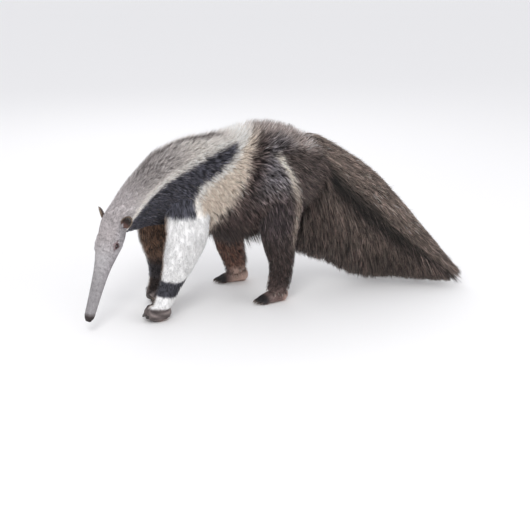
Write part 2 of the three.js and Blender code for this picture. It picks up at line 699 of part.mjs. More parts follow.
const FLOOR = { point: vec(0, 0, 0), normal: vec(0, 0, 1) };
const legSpaces = [];
for (const name of Object.keys(LEGS)) {
  const hind = name.startsWith('hind');
  const whole = limb(name, 0);
  const ankle = { point: vec(0, 0, FEET[name].ankle), normal: vec(0, 0, 1) };
  const above = keepSide(whole, ankle, GAP / 2);
  if (hind) {
    const knee = { point: vec(0, 0, KNEE), normal: vec(0, 0, 1) };
    const thighSpace = joined(legLocks(name, GAP));
    const thigh = joined([keepSide(above, knee, GAP / 2), ...legLocks(name, 0)]);
    addNode(`thigh_${name}`, thigh.subtract(trunkSpace), COLOURS.dark);
    addNode(`shank_${name}`, keepSide(above, flip(knee), GAP / 2).subtract(thighSpace), COLOURS.dark);
  } else {
    addNode(`leg_${name}`, joined([above, ...legLocks(name, 0)]).subtract(trunkSpace), COLOURS.white);
  }
  legSpaces.push(joined([limb(name, GAP), ...legLocks(name, GAP)]));
  const claws = [];
  const count = hind ? TOES.hind.length : FORE_CLAWS.length;
  for (let k = 0; k < count; k += 1) {
    const curve = hind ? hindClaw(name, k) : foreClaw(name, k);
    const form = hind ? HIND_CLAW : { ...FORE_CLAW, radius: FORE_CLAWS[k].radius };
    const clear = claws.reduce((solid, other) => solid.subtract(other), horn(curve, form, 0));
    addNode(`claw_${name}_${k + 1}`, clear.subtract(limb(name, GAP)), COLOURS.claw, 0.4);
    claws.push(horn(curve, form, GAP));
  }
  const foot = keepSide(keepSide(whole, flip(ankle), GAP / 2), FLOOR);
  addNode(`foot_${name}`, foot, COLOURS.skin);
}
addNode('tail', [trunkSpace, ...legSpaces].reduce((solid, space) => solid.subtract(space), tailSolid()),
  COLOURS.tail);

// The origin is at floor level under the middle of the whole animal.
const box = new THREE.Box3().setFromObject(group);
const middle = box.getCenter(vec(0, 0, 0));
group.position.set(-middle.x, -middle.y, -box.min.z);

export default group;
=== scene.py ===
import math
import bpy
import numpy as np
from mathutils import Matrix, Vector


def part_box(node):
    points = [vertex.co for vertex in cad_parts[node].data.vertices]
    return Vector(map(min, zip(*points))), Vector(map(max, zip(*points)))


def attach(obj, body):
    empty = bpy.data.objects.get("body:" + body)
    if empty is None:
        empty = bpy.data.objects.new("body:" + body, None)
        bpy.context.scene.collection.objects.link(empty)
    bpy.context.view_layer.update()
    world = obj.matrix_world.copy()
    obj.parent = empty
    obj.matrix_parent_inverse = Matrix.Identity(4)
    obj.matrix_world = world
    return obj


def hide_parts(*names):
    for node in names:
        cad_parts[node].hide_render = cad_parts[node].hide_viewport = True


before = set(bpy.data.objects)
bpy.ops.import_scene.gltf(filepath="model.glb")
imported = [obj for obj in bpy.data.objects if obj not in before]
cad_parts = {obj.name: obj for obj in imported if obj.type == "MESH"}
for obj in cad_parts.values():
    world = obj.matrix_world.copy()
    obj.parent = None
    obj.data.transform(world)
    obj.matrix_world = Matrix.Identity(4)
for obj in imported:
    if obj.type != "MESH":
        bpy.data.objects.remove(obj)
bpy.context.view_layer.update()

mm = 0.001
tick, nudge = 1e-3, 1e-4  # the small steps that speeds and normals, and a run's axis, are taken over

# The animal's measures in millimetres, along runs of stations. Each station holds the centre of a cross
# section, its half height above and below and half width, the coat's depth on top, at the side and
# underneath, and the turn of the section to the left in degrees.
headShape = {
    "nose": (-453, -123, 47),
    "ears": (-328, -42, 322),
    "turn": 28,
    # distance from the nose, above, below, wide
    "rows": [(2, 9, 8, 9.5), (11, 14, 13, 14.5), (30, 16, 15.5, 16), (70, 19.5, 17.5, 17),
             (110, 22.5, 19.5, 19), (150, 26, 22.5, 22), (182, 30, 26.5, 27), (210, 34, 31, 34),
             (242, 36, 36.5, 41), (270, 37, 40, 43)],
    "coat": 2.2,
}
spineShape = [
    (-328, -42, 322, 38, 45, 43, 3, 4, 4, 25),
    (-277, -27, 352, 56, 64, 57, 8, 7, 8, 16),
    (-205, -12, 385, 81, 92, 76, 15, 9, 12, 8),
    (-115, -2, 410, 112, 120, 100, 27, 11, 16, 0),
    (-20, 0, 414, 124, 142, 116, 34, 15, 26, 0),
    (80, 0, 404, 134, 152, 124, 42, 22, 38, 0),
    (180, 0, 398, 140, 142, 126, 48, 28, 42, 0),
    (270, -3, 396, 126, 118, 116, 50, 32, 40, 0),
    (336, -8, 402, 100, 92, 88, 50, 34, 40, 0),
    (388, -14, 414, 72, 62, 56, 48, 34, 36, 0),
]
tailShape = [
    (318, -4, 446, 50, 52, 48, 34, 30, 60, 0),
    (376, -12, 434, 46, 48, 44, 36, 30, 70, 0),
    (446, -26, 396, 38, 40, 38, 38, 30, 80, 4),
    (522, -46, 346, 31, 33, 31, 38, 30, 80, 8),
    (590, -74, 286, 26, 28, 26, 38, 30, 70, 14),
    (652, -110, 216, 21, 22, 21, 34, 28, 50, 20),
    (710, -148, 146, 16, 17, 16, 28, 24, 30, 24),
    (758, -182, 92, 9, 9, 9, 20, 18, 20, 28),
]
# the tail's hair out to its tips, as upright sections
curtainShape = [
    (296, 0, 330, 180, 185, 80, 0, 0, 0, 0),
    (336, -6, 330, 210, 202, 92, 0, 0, 0, 2),
    (380, -12, 322, 222, 212, 98, 0, 0, 0, 4),
    (440, -24, 296, 211, 212, 100, 0, 0, 0, 8),
    (510, -42, 252, 209, 208, 94, 0, 0, 0, 14),
    (585, -70, 212, 190, 190, 86, 0, 0, 0, 20),
    (652, -106, 172, 150, 150, 74, 0, 0, 0, 26),
    (714, -148, 130, 104, 112, 60, 0, 0, 0, 30),
    (774, -193, 84, 64, 70, 42, 0, 0, 0, 32),
    (822, -228, 48, 30, 34, 24, 0, 0, 0, 34),
]
legShapes = {  # centre, half sizes behind, in front and sideways, from the root to the ankle
    "fore_left": [(-86, -62, 380, 70, 74, 40), (-104, -86, 310, 70, 72, 46), (-112, -96, 262, 64, 67, 46),
                  (-130, -99, 212, 54, 60, 44), (-143, -99, 176, 45, 52, 40), (-162, -98, 136, 34, 40, 36),
                  (-180, -97, 98, 29, 31, 32), (-195, -97, 66, 29, 30, 31), (-211, -97, 36, 26, 27, 27)],
    "fore_right": [(-100, 54, 384, 70, 72, 40), (-138, 66, 310, 68, 70, 44), (-155, 72, 250, 60, 58, 42),
                   (-155, 75, 200, 48, 46, 38), (-152, 76, 150, 36, 31, 33), (-149, 76, 108, 28, 26, 29),
                   (-154, 74, 70, 27, 26, 27), (-165, 71, 38, 26, 26, 27)],
    "hind_left": [(226, -66, 380, 84, 88, 44), (212, -92, 316, 78, 78, 50), (205, -108, 252, 62, 60, 46),
                  (204, -114, 200, 50, 47, 42), (209, -114, 150, 41, 36, 36), (211, -109, 106, 35, 31, 32),
                  (209, -104, 66, 32, 33, 30), (203, -102, 36, 29, 33, 28)],
    "hind_right": [(190, 74, 380, 88, 88, 44), (168, 98, 318, 80, 80, 50), (146, 116, 256, 62, 67, 46),
                   (135, 128, 200, 50, 56, 42), (138, 136, 150, 46, 46, 36), (151, 141, 106, 40, 39, 32),
                   (164, 145, 68, 37, 38, 30), (167, 146, 36, 31, 33, 28)],
}
feetShape = {  # sole centre, way the toes point, distance from the sole's centre to the toes
    "fore_left": {"sole": (-218, -96), "turn": 2, "front": 40},
    "fore_right": {"sole": (-150, 74), "turn": 6, "front": 38},
    "hind_left": {"sole": (170, -102), "turn": 4, "front": 34},
    "hind_right": {"sole": (152, 146), "turn": -8, "front": 50},
    # distance from the toes, height of the centre, half height, half width
    "fist": [(3, 24, 13, 19), (15, 26, 24, 29), (33, 27, 29, 33), (53, 26, 29, 32), (69, 22, 23, 26),
             (78, 18, 15, 16)],
    "paw": [(3, 9, 7, 20), (16, 12, 12, 27), (38, 16, 17, 28), (60, 20, 22, 27), (79, 22, 24, 26),
            (93, 20, 22, 23), (101, 18, 15, 16)],
    # toes by their centre (distance, across, height) and half sizes
    "foreToes": [((14, -17, 27), (13, 9, 14)), ((9, 0, 29), (14, 10, 16)), ((15, 18, 25), (12, 9, 13))],
    "hindToes": [((15, -20, 9), (12, 6, 8)), ((9, -10.5, 10), (14, 6.5, 9)), ((7, 0, 10), (14, 6.5, 9)),
                 ((9, 10.5, 10), (13, 6.5, 9)), ((16, 20, 9), (12, 6, 8))],
}


def alongCurve(points, t):
    # a smooth curve through the points: on each stretch a cubic with half the step between its
    # neighbours as the slope at each end, t running from 0 to 1 over all stretches
    points = np.asarray(points, float)
    ends = np.vstack([2 * points[0] - points[1], points, 2 * points[-1] - points[-2]])
    place = np.clip(np.asarray(t, float), 0, 1) * (len(points) - 1)
    k = np.minimum(place.astype(int), len(points) - 2)
    w = (place - k)[..., None]
    a, b, c, d = (ends[k + i] for i in range(4))
    slopeB, slopeC = (c - a) / 2, (d - b) / 2
    return b + slopeB * w + (3 * (c - b) - 2 * slopeB - slopeC) * w ** 2 \
        + (2 * (b - c) + slopeB + slopeC) * w ** 3


def unit(v):
    # a vector divided by its own length
    return v / np.maximum(np.linalg.norm(v, axis=-1, keepdims=True), 1e-12)


def makeRun(rows, offset, upright=False):
    # a run's centres are the places of its rows in metres plus the offset, and its sizes are the rest
    rows = np.asarray(rows, float)
    return {"centre": rows[:, :3] * mm + offset, "sizes": np.column_stack([rows[:, 3:9] * mm, rows[:, 9]]),
            "upright": upright, "last": len(rows) - 1}


def runSection(run, t):
    # the centre at t, the axis there, the directions to the left and up across it, and the sizes
    t = np.asarray(t, float)
    centre = alongCurve(run["centre"], t)
    axis = alongCurve(run["centre"], t + nudge) - alongCurve(run["centre"], t - nudge)
    if run["upright"]:
        axis[..., 2] = 0
    axis = unit(axis)
    sizes = alongCurve(run["sizes"], t)
    turn = np.radians(sizes[..., 6])
    left = np.stack([np.sin(turn), -np.cos(turn), np.zeros_like(turn)], axis=-1)
    left = unit(left - axis * np.sum(left * axis, axis=-1, keepdims=True))
    return centre, axis, left, np.cross(left, axis), sizes


def runSurface(run, t, angle, grow=0.0):
    # centre + left * cos(angle) * (half width + grow) + up * sin(angle) * (half height + grow), with the
    # angle from the left side over the top
    centre, axis, left, up, sizes = runSection(run, t)
    rise = np.sin(angle)
    across = (sizes[..., 2] + grow) * np.cos(angle)
    height = (np.where(rise > 0, sizes[..., 0], sizes[..., 1]) + grow) * rise
    return centre + left * across[..., None] + up * height[..., None]


def coatDepth(sizes, angle):
    # the side's depth, moved toward the top's or the underside's by the size of sin(angle)
    rise = np.sin(angle)
    return sizes[..., 4] + (np.where(rise > 0, sizes[..., 3], sizes[..., 5]) - sizes[..., 4]) * np.abs(rise)


def smooth(edgeA, edgeB, x):
    # 0 before edgeA and 1 after edgeB, eased between
    w = np.clip((x - edgeA) / (edgeB - edgeA), 0, 1)
    return w * w * (3 - 2 * w)


def bell(x, width):
    # 1 at 0, falling to both sides as exp(-(x / width)^2)
    return np.exp(-(x / width) ** 2)


def mix(a, b, w):
    # a + (b - a) * w, for rows of numbers
    return a + (b - a) * np.asarray(w)[..., None]


def along(stops, x):
    # the value at x on the straight lines between stops of (place, value)
    places, values = np.array(stops, float).T
    return np.interp(x, places, values)


def summed(steps):
    # the running total of steps, from 0
    return np.concatenate([[0], np.cumsum(steps)])


def evenTurn(count):
    # angles spaced evenly round a full turn
    return np.linspace(0, 2 * np.pi, count, endpoint=False)


def wrapped(angle):
    # the same angle between minus and plus half a turn
    return np.angle(np.exp(1j * angle))


def stepLength(run, t):
    # the distance between the run's centres one tick before t and one after
    return np.linalg.norm(alongCurve(run["centre"], t + tick) - alongCurve(run["centre"], t - tick), axis=-1)


def runSpeed(run, t):
    # metres along the run for each whole unit of t
    return stepLength(run, t) / (2 * tick)


def bentLine(root, bend, tip, t):
    # root (1 - t)^2 + bend 2 t (1 - t) + tip t^2
    return root * (1 - t) ** 2 + bend * 2 * t * (1 - t) + tip * t ** 2


def bentWay(root, bend, tip, t):
    # the direction of the bent line at t
    return unit((bend - root) * (1 - t) + (tip - bend) * t)


# The head's rows stand along a line from the nose to the crown, and the body run goes on down the spine.
noseTip = np.array(headShape["nose"], float) * mm
headAxis = unit(np.array(headShape["ears"], float) * mm - noseTip)
headRows = [tuple((noseTip + headAxis * distance * mm) / mm) + (above, below, wide)
            + (headShape["coat"],) * 3 + (headShape["turn"],)
            for distance, above, below, wide in headShape["rows"]]
bodyRows = headRows + spineShape
crownStation = len(headRows)
# the eye, in metres and degrees: its station on the head, its lift over the side, its radius and depth,
# the lids' half sizes along, over and outward, and the half sizes of their opening
eyeShape = {"station": 8, "lift": 16, "radius": 0.0074, "sink": 0.003, "lids": (0.0123, 0.0103, 0.0098),
            "opening": (0.0078, 0.0047)}


def eyeFrame(run, side):
    # the eye's centre at the side of the head, then the ways toward the nose, over the eye and outward
    centre, axis, left, up, sizes = runSection(run, np.array(eyeShape["station"] / run["last"]))
    lift = math.radians(eyeShape["lift"])
    out = left * side * math.cos(lift) + up * math.sin(lift)
    reach = 1 / math.hypot(math.cos(lift) / sizes[2], math.sin(lift) / sizes[0])
    return centre + out * (reach - eyeShape["sink"]), -axis, unit(np.cross(out, -axis)) * side, out


# the measures' own origin in the frame comes from the box of the left eye
eyeLow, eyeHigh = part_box("eye_left")
origin = (np.array(eyeLow) + np.array(eyeHigh)) / 2 - eyeFrame(makeRun(bodyRows, np.zeros(3)), 1)[0]
body = makeRun(bodyRows, origin)
tail = makeRun(tailShape, origin)
curtain = makeRun(curtainShape, origin, upright=True)
legDepths = {"fore": (6, 5, 6), "hind": (12, 10, 8)}  # the coat behind, at the side and in front
legs = {name: makeRun([row + legDepths[name[:4]] + (0,) for row in rows], origin)
        for name, rows in legShapes.items()}
limbs = [tail, *legs.values()]
noseTip = noseTip + origin
print("measures placed at", np.round(origin, 5))


def footFrame(name):
    # the middle of the toes' tips on the floor, then the ways back and to the left
    shape = feetShape[name]
    turn = math.radians(shape["turn"])
    back = np.array([math.cos(turn), math.sin(turn), 0])
    left = np.array([math.sin(turn), -math.cos(turn), 0])
    return np.array([*shape["sole"], 0]) * mm + origin * (1, 1, 0) - back * shape["front"] * mm, back, left


def inFoot(name, distance, across, high):
    # a place in the foot from millimetres behind the toes' tips, to the left and up
    toes, back, left = footFrame(name)
    return toes + back * distance * mm + left * across * mm + np.array([0, 0, high * mm])


def footPlaces(name, points):
    # how far points lie behind the toes' tips and to the left of them, in metres
    toes, back, left = footFrame(name)
    return (points - toes) @ back, (points - toes) @ left


def makeFoot(name):
    # a foot's run goes back from the toes through its sections
    rows = [tuple(inFoot(name, distance, 0, z) / mm) + (high, high, wide, 2, 2, 2, feetShape[name]["turn"])
            for distance, z, high, wide in feetShape["paw" if name.startswith("hind") else "fist"]]
    return makeRun(rows, np.zeros(3))


feet = {name: makeFoot(name) for name in legShapes}
# the ear, in metres and degrees: how far past the crown it stands and how high round the head, its half
# sizes, wall, lean and gap to the head, its ways as shares of outward, onward and up, and its tip's point
earShape = {"past": -0.002, "angle": 6, "tall": 0.023, "wide": 0.0152, "deep": 0.0088, "wall": 0.0022,
            "lean": 0.016, "clear": 0.005, "face": (0.6, -0.6, 0.4), "tip": (0.9, 0.85, 0.7),
            "point": 0.12, "pointWidth": 0.45}


def earFrame(side):
    # the ear's middle, then the ways across the cup, to its tip and out of its mouth
    centre, axis, left, up, sizes = runSection(body, np.array(crownStation / body["last"]))
    turn = math.radians(earShape["angle"])
    out = left * side * math.cos(turn) + up * math.sin(turn)
    face, tip = (sum(way * part for way, part in zip((out, axis, up), earShape[end]))
                 for end in ("face", "tip"))
    face = unit(face - tip * np.dot(face, tip) / np.dot(tip, tip))
    tip = unit(tip)
    middle = centre + axis * earShape["past"] + out * (sizes[2] + earShape["clear"]) + tip * earShape["lean"]
    return middle, np.cross(face, tip), tip, face


def earOutline(reach, turn):
    # how far across the ear and toward its tip a place lies, by its share of the way to the rim and the
    # turn round it; the rim is drawn out a little at the tip
    outline = 1 + earShape["point"] * bell(wrapped(turn - np.pi / 2), earShape["pointWidth"])
    return (reach * earShape["wide"] * np.cos(turn) * outline,
            reach * earShape["tall"] * np.sin(turn) * outline)


def placeOn(run, points, count=160):
    # the nearest place t on a run, the angle there and how far outside its skin each point lies: the
    # nearest of count centres first, then steps along the axis to the foot of the plumb line
    centres = alongCurve(run["centre"], np.linspace(0, 1, count))
    gap = np.sum(points ** 2, axis=1)[:, None] - 2 * points @ centres.T + np.sum(centres ** 2, axis=1)
    t = gap.argmin(axis=1) / (count - 1)
    for _ in range(4):
        centre, axis, left, up, sizes = runSection(run, t)
        onward = np.sum((points - centre) * axis, axis=1)
        t = np.clip(t + onward * (2 * tick) / np.maximum(stepLength(run, t), 1e-9), 0, 1)
    centre, axis, left, up, sizes = runSection(run, t)
    rel = points - centre
    x, y = np.sum(rel * left, axis=1), np.sum(rel * up, axis=1)
    high = np.where(y > 0, sizes[:, 0], sizes[:, 1])
    radius = np.maximum(np.hypot(x / sizes[:, 2], y / high), 1e-6)
    outside = np.hypot(x, y) * (1 - 1 / radius)
    beyond = np.abs(np.sum(rel * axis, axis=1))
    outside = np.where(beyond > 0.002, np.hypot(np.maximum(outside, 0), beyond), outside)
    return t, np.arctan2(y / high, x / sizes[:, 2]), outside


def clearOfBody(points):
    # 0 on the body's skin and 1 from a millimetre outside it
    return smooth(0.0003, 0.001, placeOn(body, points)[2])


# the coat's, skin's, eyes' and claws' colours, as seen on a screen
tones = {
    "snoutTip": (0.17, 0.14, 0.135), "snout": (0.62, 0.605, 0.61), "face": (0.73, 0.715, 0.72),
    "brow": (0.71, 0.68, 0.68), "cheek": (0.68, 0.66, 0.67), "nape": (0.8, 0.77, 0.77),
    "neck": (0.72, 0.69, 0.68), "crest": (0.43, 0.39, 0.38), "throat": (0.78, 0.76, 0.76),
    "stripe": (0.33, 0.33, 0.37), "white": (0.98, 0.955, 0.925), "beige": (0.92, 0.86, 0.8),
    "brown": (0.33, 0.27, 0.26), "flank": (0.56, 0.54, 0.56), "streak": (0.97, 0.93, 0.87),
    "rump": (0.7, 0.65, 0.63), "belly": (0.25, 0.205, 0.195),
    # the tail's tones are lighter on top and darker below partly as painted light and shade, and the tone of
    # its dark line is a painted shadow
    "tailTop": (0.56, 0.49, 0.455), "tailSide": (0.41, 0.35, 0.325), "tailLow": (0.28, 0.23, 0.215),
    "tailShadeLine": (0.08, 0.068, 0.068), "tailTip": (0.44, 0.38, 0.36), "tailSkin": (0.20, 0.16, 0.15),
    "foreWhite": (0.96, 0.955, 0.95), "foreBand": (0.26, 0.26, 0.29), "fist": (0.25, 0.22, 0.215),
    "inner": (0.44, 0.33, 0.26), "thigh": (0.29, 0.25, 0.26), "shank": (0.25, 0.2, 0.19),
    "hindFoot": (0.42, 0.34, 0.32), "sole": (0.72, 0.61, 0.56), "eyeSkin": (0.46, 0.38, 0.385),
    "lidRim": (0.38, 0.28, 0.28), "earBack": (0.50, 0.45, 0.43), "earInside": (0.17, 0.13, 0.12),
    "earPink": (0.36, 0.27, 0.25), "earRim": (0.68, 0.60, 0.52), "mouth": (0.12, 0.09, 0.09),
    # the pale patch tone on fists and feet is partly dust and partly painted highlight
    "dustAndSheen": (0.62, 0.57, 0.555), "hip": (0.32, 0.275, 0.265), "toes": (0.13, 0.115, 0.12),
    "streakLow": (0.7, 0.63, 0.58), "innerLow": (0.14, 0.10, 0.09), "shankInner": (0.56, 0.41, 0.35),
    "paleHair": (0.66, 0.61, 0.57), "paleTip": (0.62, 0.56, 0.51), "earHair": (0.55, 0.55, 0.55),
    "lash": (0.10, 0.10, 0.10), "irisDeep": (0.17, 0.095, 0.06), "iris": (0.27, 0.16, 0.10),
    "irisEdge": (0.06, 0.04, 0.035), "eyeball": (0.20, 0.15, 0.14), "pupil": (0.012, 0.010, 0.012),
    "claw": (0.15, 0.12, 0.11), "clawTip": (0.46, 0.39, 0.33),
}
tones = {name: np.array(value) for name, value in tones.items()}
# The edges of the markings: the dark stripe's upper edge (station, elevation) and its rear edge
# (elevation, station), where the white behind it ends and where the beige after that has turned brown
# (elevation, station), the dark crest's lower edge (station, elevation) and the middle of the pale streak
# before the thigh (elevation, station).
stripeLines = {
    "top": ((9.15, -34), (10.1, -38), (10.68, -6), (11.16, 6), (11.76, 18), (12.41, 24), (13.0, 27),
            (13.33, 32), (13.63, 37), (13.92, 43), (14.2, 50), (14.49, 56), (14.72, 60), (15.05, 64)),
    "rear": ((-90, 13.05), (-38, 13.0), (-19, 13.16), (-6, 13.36), (2, 13.48), (9, 13.68), (20, 14.09),
             (29, 14.3), (37, 14.53), (45, 14.69), (52, 14.82), (60, 14.88), (90, 14.9)),
    "white": ((-90, 13.4), (-15, 13.53), (1, 13.81), (13, 14.15), (24, 14.5), (34, 14.73), (47, 14.97),
              (61, 15.25), (73, 15.53), (90, 15.8)),
    "beige": ((-90, 13.95), (-54, 14.07), (-35, 14.34), (-14, 14.58), (4, 14.81), (19, 14.93), (31, 15.07),
              (46, 15.26), (60, 15.46), (90, 15.95)),
    "crest": ((11.0, 92), (12.0, 86), (12.9, 84), (13.3, 82), (13.73, 79), (14.19, 76), (14.69, 77),
              (15.5, 84)),
    "streak": ((-60, 17.25), (-38, 17.1), (-12, 16.92), (6, 16.75), (19, 16.56), (28, 16.38), (38, 16.2)),
}


def lineAt(name, x):
    # where a marking's edge lies at x
    return along(stripeLines[name], x)


def tonesAlong(x, stops):
    # colours between the named tones at the stops
    places = [stop for stop, _ in stops]
    colours = np.array([tones[name] for _, name in stops])
    return np.stack([np.interp(x, places, colours[:, k]) for k in range(3)], axis=-1)


def elevation(angle):
    # degrees over the level of the run's centre, the same on both sides
    return np.degrees(np.arcsin(np.sin(angle)))


def bodyMarks(station, angle):
    # along the head the top and the sides have their own tones; a dark stripe under a slanting upper edge
    # runs back from the throat to a point on the back, with white before and behind it, then beige
    # turning to the brown and grey of the flank
    high = elevation(angle)
    top = tonesAlong(station, [(0.1, "snoutTip"), (0.9, "snoutTip"), (1.8, "snout"), (4, "snout"),
                               (6.5, "face"), (8.6, "brow"), (11, "nape"), (12.2, "neck"), (14, "neck")])
    side = tonesAlong(station, [(0.1, "snoutTip"), (1.0, "snoutTip"), (2.0, "snout"), (5, "cheek"),
                                (9.5, "cheek"), (11, "throat"), (13, "neck")])
    colour = mix(side, top, smooth(0, 50, high))
    colour = mix(colour, tones["white"], 0.4 * smooth(10.4, 11.6, station) * smooth(60, 15, high))
    line = high - lineAt("top", station)
    rear = station - lineAt("rear", high)
    colour = mix(colour, tones["white"], 0.75 * smooth(12.6, 13.8, station) * smooth(20, 45, high))
    crest = smooth(-2, 9, high - lineAt("crest", station)) * smooth(11.2, 12.0, station) \
        * smooth(14.9, 13.9, station)
    colour = mix(colour, tones["crest"], crest)
    colour = mix(colour, tones["white"], 0.95 * bell(line - 6.5, 5) * smooth(9.2, 10.2, station))
    behind = smooth(-0.03, 0.1, rear)
    after = mix(tones["white"], tones["beige"], smooth(-0.1, 0.12, station - lineAt("white", high)))
    beige = station - lineAt("beige", high)
    after = mix(after, tones["brown"], smooth(-0.06, 0.42, beige))
    after = mix(after, tones["flank"], smooth(0.25, 1.0, beige) * smooth(-35, 12, high))
    after = mix(after, tones["belly"], smooth(-35, -80, high) * smooth(-0.1, 0.5, beige))
    after = mix(after, tones["rump"], smooth(16.4, 17.6, station) * smooth(-10, 40, high))
    after = mix(after, tones["rump"], smooth(15.2, 16.2, station) * smooth(48, 78, high))
    after = mix(after, tones["hip"], smooth(0.0, 0.3, station - lineAt("streak", high))
                * smooth(58, 34, high))
    streak = bell(station - lineAt("streak", high), 0.15) * smooth(-85, -45, high) * smooth(46, 34, high)
    after = mix(after, mix(tones["streakLow"], tones["streak"], smooth(-30, 12, high)), streak)
    colour = mix(colour, after, behind)
    stripe = smooth(3, -3, line) * smooth(0.05, -0.07, rear) * smooth(9.0, 9.7, station)
    return mix(colour, tones["stripe"], stripe)


# the elevation of the tail's dark line, a painted shadow where the hair parts over the core, by the station
# along its hanging hair
tailShadeLine = ((0.2, 60), (1.2, 46), (2.5, 29), (4.2, 17), (6.3, 7), (8.2, -2))


def tailMarks(place, angle):
    # by the place on the hanging hair's outline: lighter above and darker below, partly the hair's own tone
    # and partly painted light from above and painted shade below, with a dark painted shadow along the
    # slanting line where the hair parts
    high = elevation(angle)
    line = high - along(tailShadeLine, place)
    colour = mix(tones["tailLow"], tones["tailSide"], smooth(-70, -14, line))
    colour = mix(colour, tones["tailTop"], smooth(4, 30, line))
    # the dark tone along the slanting line is a painted shadow where the hair parts over the tail's core
    colour = mix(colour, tones["tailShadeLine"], 0.95 * bell(line, 11))
    return mix(colour, tones["tailTip"], 0.7 * smooth(7, 9, place))


def legMarks(name, points):
    # forelegs are white with a black band above the wrist and a dark fist, brown on the inner side; hind
    # legs are dark with a pale streak behind and at the foot, and a bare heel; the tops of both carry the
    # body's markings, and pale patches on fist and foot, partly dust and partly painted highlight, follow a
    # product of waves
    side = 1 if name.endswith("left") else -1
    high = points[:, 2]
    onward, across = footPlaces(name, points)
    across = across * side
    # pale patches from a product of waves: partly dust on the skin, partly painted highlight
    dustAndSheen = 0.5 + 0.25 * (np.sin(onward / 0.009 + 3 * np.sin(across / 0.011 + high / 0.008))
                         + np.sin(across / 0.007 + 2 * np.sin(high / 0.006)))
    t, angle = placeOn(body, points)[:2]
    trunk = bodyMarks(t * body["last"], angle)
    if name.startswith("fore"):
        inside = smooth(0.012, -0.014, across) * smooth(0.36, 0.30, high)
        slant = high + 0.12 * np.clip(onward - 0.05, -0.05, 0.05)
        band = smooth(0.138, 0.129, slant) * smooth(0.080, 0.087, slant)
        colour = mix(tones["foreWhite"], tones["inner"], 0.95 * inside)
        colour = mix(colour, tones["innerLow"], inside * smooth(0.19, 0.12, high))
        colour = mix(colour, tones["foreBand"], band * (1 - 0.5 * inside))
        colour = mix(colour, mix(tones["fist"], tones["dustAndSheen"], 0.75 * dustAndSheen), smooth(0.048, 0.038, slant))
        colour = mix(colour, tones["sole"], 0.7 * smooth(0.012, 0.004, high) * smooth(0.02, 0.05, onward))
        return mix(colour, trunk, smooth(0.322, 0.340, high) * (1 - inside))
    colour = mix(tones["thigh"], tones["shank"], smooth(0.28, 0.16, high))
    colour = mix(colour, tones["shankInner"], 0.8 * smooth(0.0, -0.02, across) * smooth(0.24, 0.18, high))
    turn = placeOn(legs[name], points)[1]
    behind = np.degrees(np.where(side > 0, turn, np.pi - turn))
    behind = np.degrees(wrapped(np.radians(behind - 42)))
    colour = mix(colour, tones["streakLow"], bell(behind, 18) * smooth(0.15, 0.23, high))
    foot = mix(tones["hindFoot"], tones["dustAndSheen"], 0.35 * dustAndSheen)
    colour = mix(colour, mix(tones["toes"], foot, smooth(0.012, 0.034, onward)), smooth(0.07, 0.035, high))
    heel = smooth(0.068, 0.09, onward) * smooth(0.05, 0.02, high) + 0.8 * smooth(0.008, 0.003, high)
    inner = smooth(0, -0.016, across) * smooth(0.075, 0.04, high) * smooth(0.03, 0.05, onward)
    colour = mix(colour, tones["sole"], np.clip(0.7 * heel + inner, 0, 0.9))
    return mix(colour, trunk, smooth(0.34, 0.40, high) * (1 - 0.6 * bell(behind, 17)))


def earMarks(points, side):
    # the cup's inside is dark with pink at its bottom, the front rim beige and the back grey-brown
    middle, across, tip, face = earFrame(side)
    rel = points - middle
    x, y, z = rel @ across / earShape["wide"], rel @ tip / earShape["tall"], rel @ face / earShape["deep"]
    reach = np.hypot(x, y)
    inside = smooth(-0.1, 0.12, z + np.sqrt(np.clip(1 - reach ** 2, 0, 1)) * 0.88)
    inner = mix(tones["earInside"], tones["earPink"], smooth(-0.05, -0.6, y))
    colour = mix(tones["earBack"], inner, inside)
    return mix(colour, tones["earRim"], 0.8 * bell(reach - 1, 0.16) * smooth(-0.9, 0.3, y))


def eyeRing(points, side):
    # distances round the eye as shares of its opening, and the height above its centre
    centre, along, over, out = eyeFrame(body, side)
    rel = points - centre
    x, y = rel @ along, rel @ over
    long, tall = eyeShape["opening"]
    near = (rel @ out > -0.006) & (np.hypot(x, y) < 0.04)
    upper = tall * (1.15 - 0.45 * (x / long) ** 2).clip(0.35, 1.2)
    lower = tall * (0.95 - 0.25 * (x / long) ** 2).clip(0.35, 1.2)
    return np.where(near, np.hypot(x / long, y / np.where(y > 0, upper, lower)), 99), x, y


def headMarks(colour, points):
    # dark skin round each eye, a warm rim to the lids and the dark line of their opening
    for side in (1, -1):
        ring = eyeRing(points, side)[0]
        colour = mix(colour, tones["eyeSkin"], 0.75 * smooth(3.0, 1.5, ring))
        colour = mix(colour, tones["lidRim"], smooth(1.5, 1.2, ring))
        colour = mix(colour, tones["mouth"], smooth(1.02, 0.9, ring))
    return colour


def skinMarks(points):
    # every part's colour weighted by how near its skin passes
    total, weights = np.zeros_like(points), np.full(len(points), 1e-12)
    for name, run in {"body": body, "tail": tail, **legs}.items():
        t, angle, outside = placeOn(run, points)
        weight = np.exp(-np.clip(np.abs(outside), 0, 0.1) / 0.003)
        if name == "body":
            colour = headMarks(bodyMarks(t * run["last"], angle), points)
        elif name == "tail":
            colour = np.repeat(tones["tailSkin"][None], len(points), axis=0)
        else:
            colour = legMarks(name, points)
            weight = np.maximum(weight, (points[:, 2] < 0.09) * (outside < 0.07))
        total += colour * weight[:, None]
        weights += weight
    colour = total / weights[:, None]
    for side in (1, -1):
        middle = earFrame(side)[0]
        near = smooth(0.03, 0.025, np.linalg.norm(points - middle, axis=1)) * clearOfBody(points)
        colour = mix(colour, earMarks(points, side), near)
    return colour


def evenPlaces(run, spacing, count=4000):
    # places t along a run whose steps in metres follow spacing(t)
    t = np.linspace(0, 1, count)
    centre = alongCurve(run["centre"], t)
    total = summed(np.linalg.norm(np.diff(centre, axis=0), axis=1) / spacing((t[1:] + t[:-1]) / 2))
    return np.interp(np.linspace(0, total[-1], int(total[-1]) + 2), total, t)


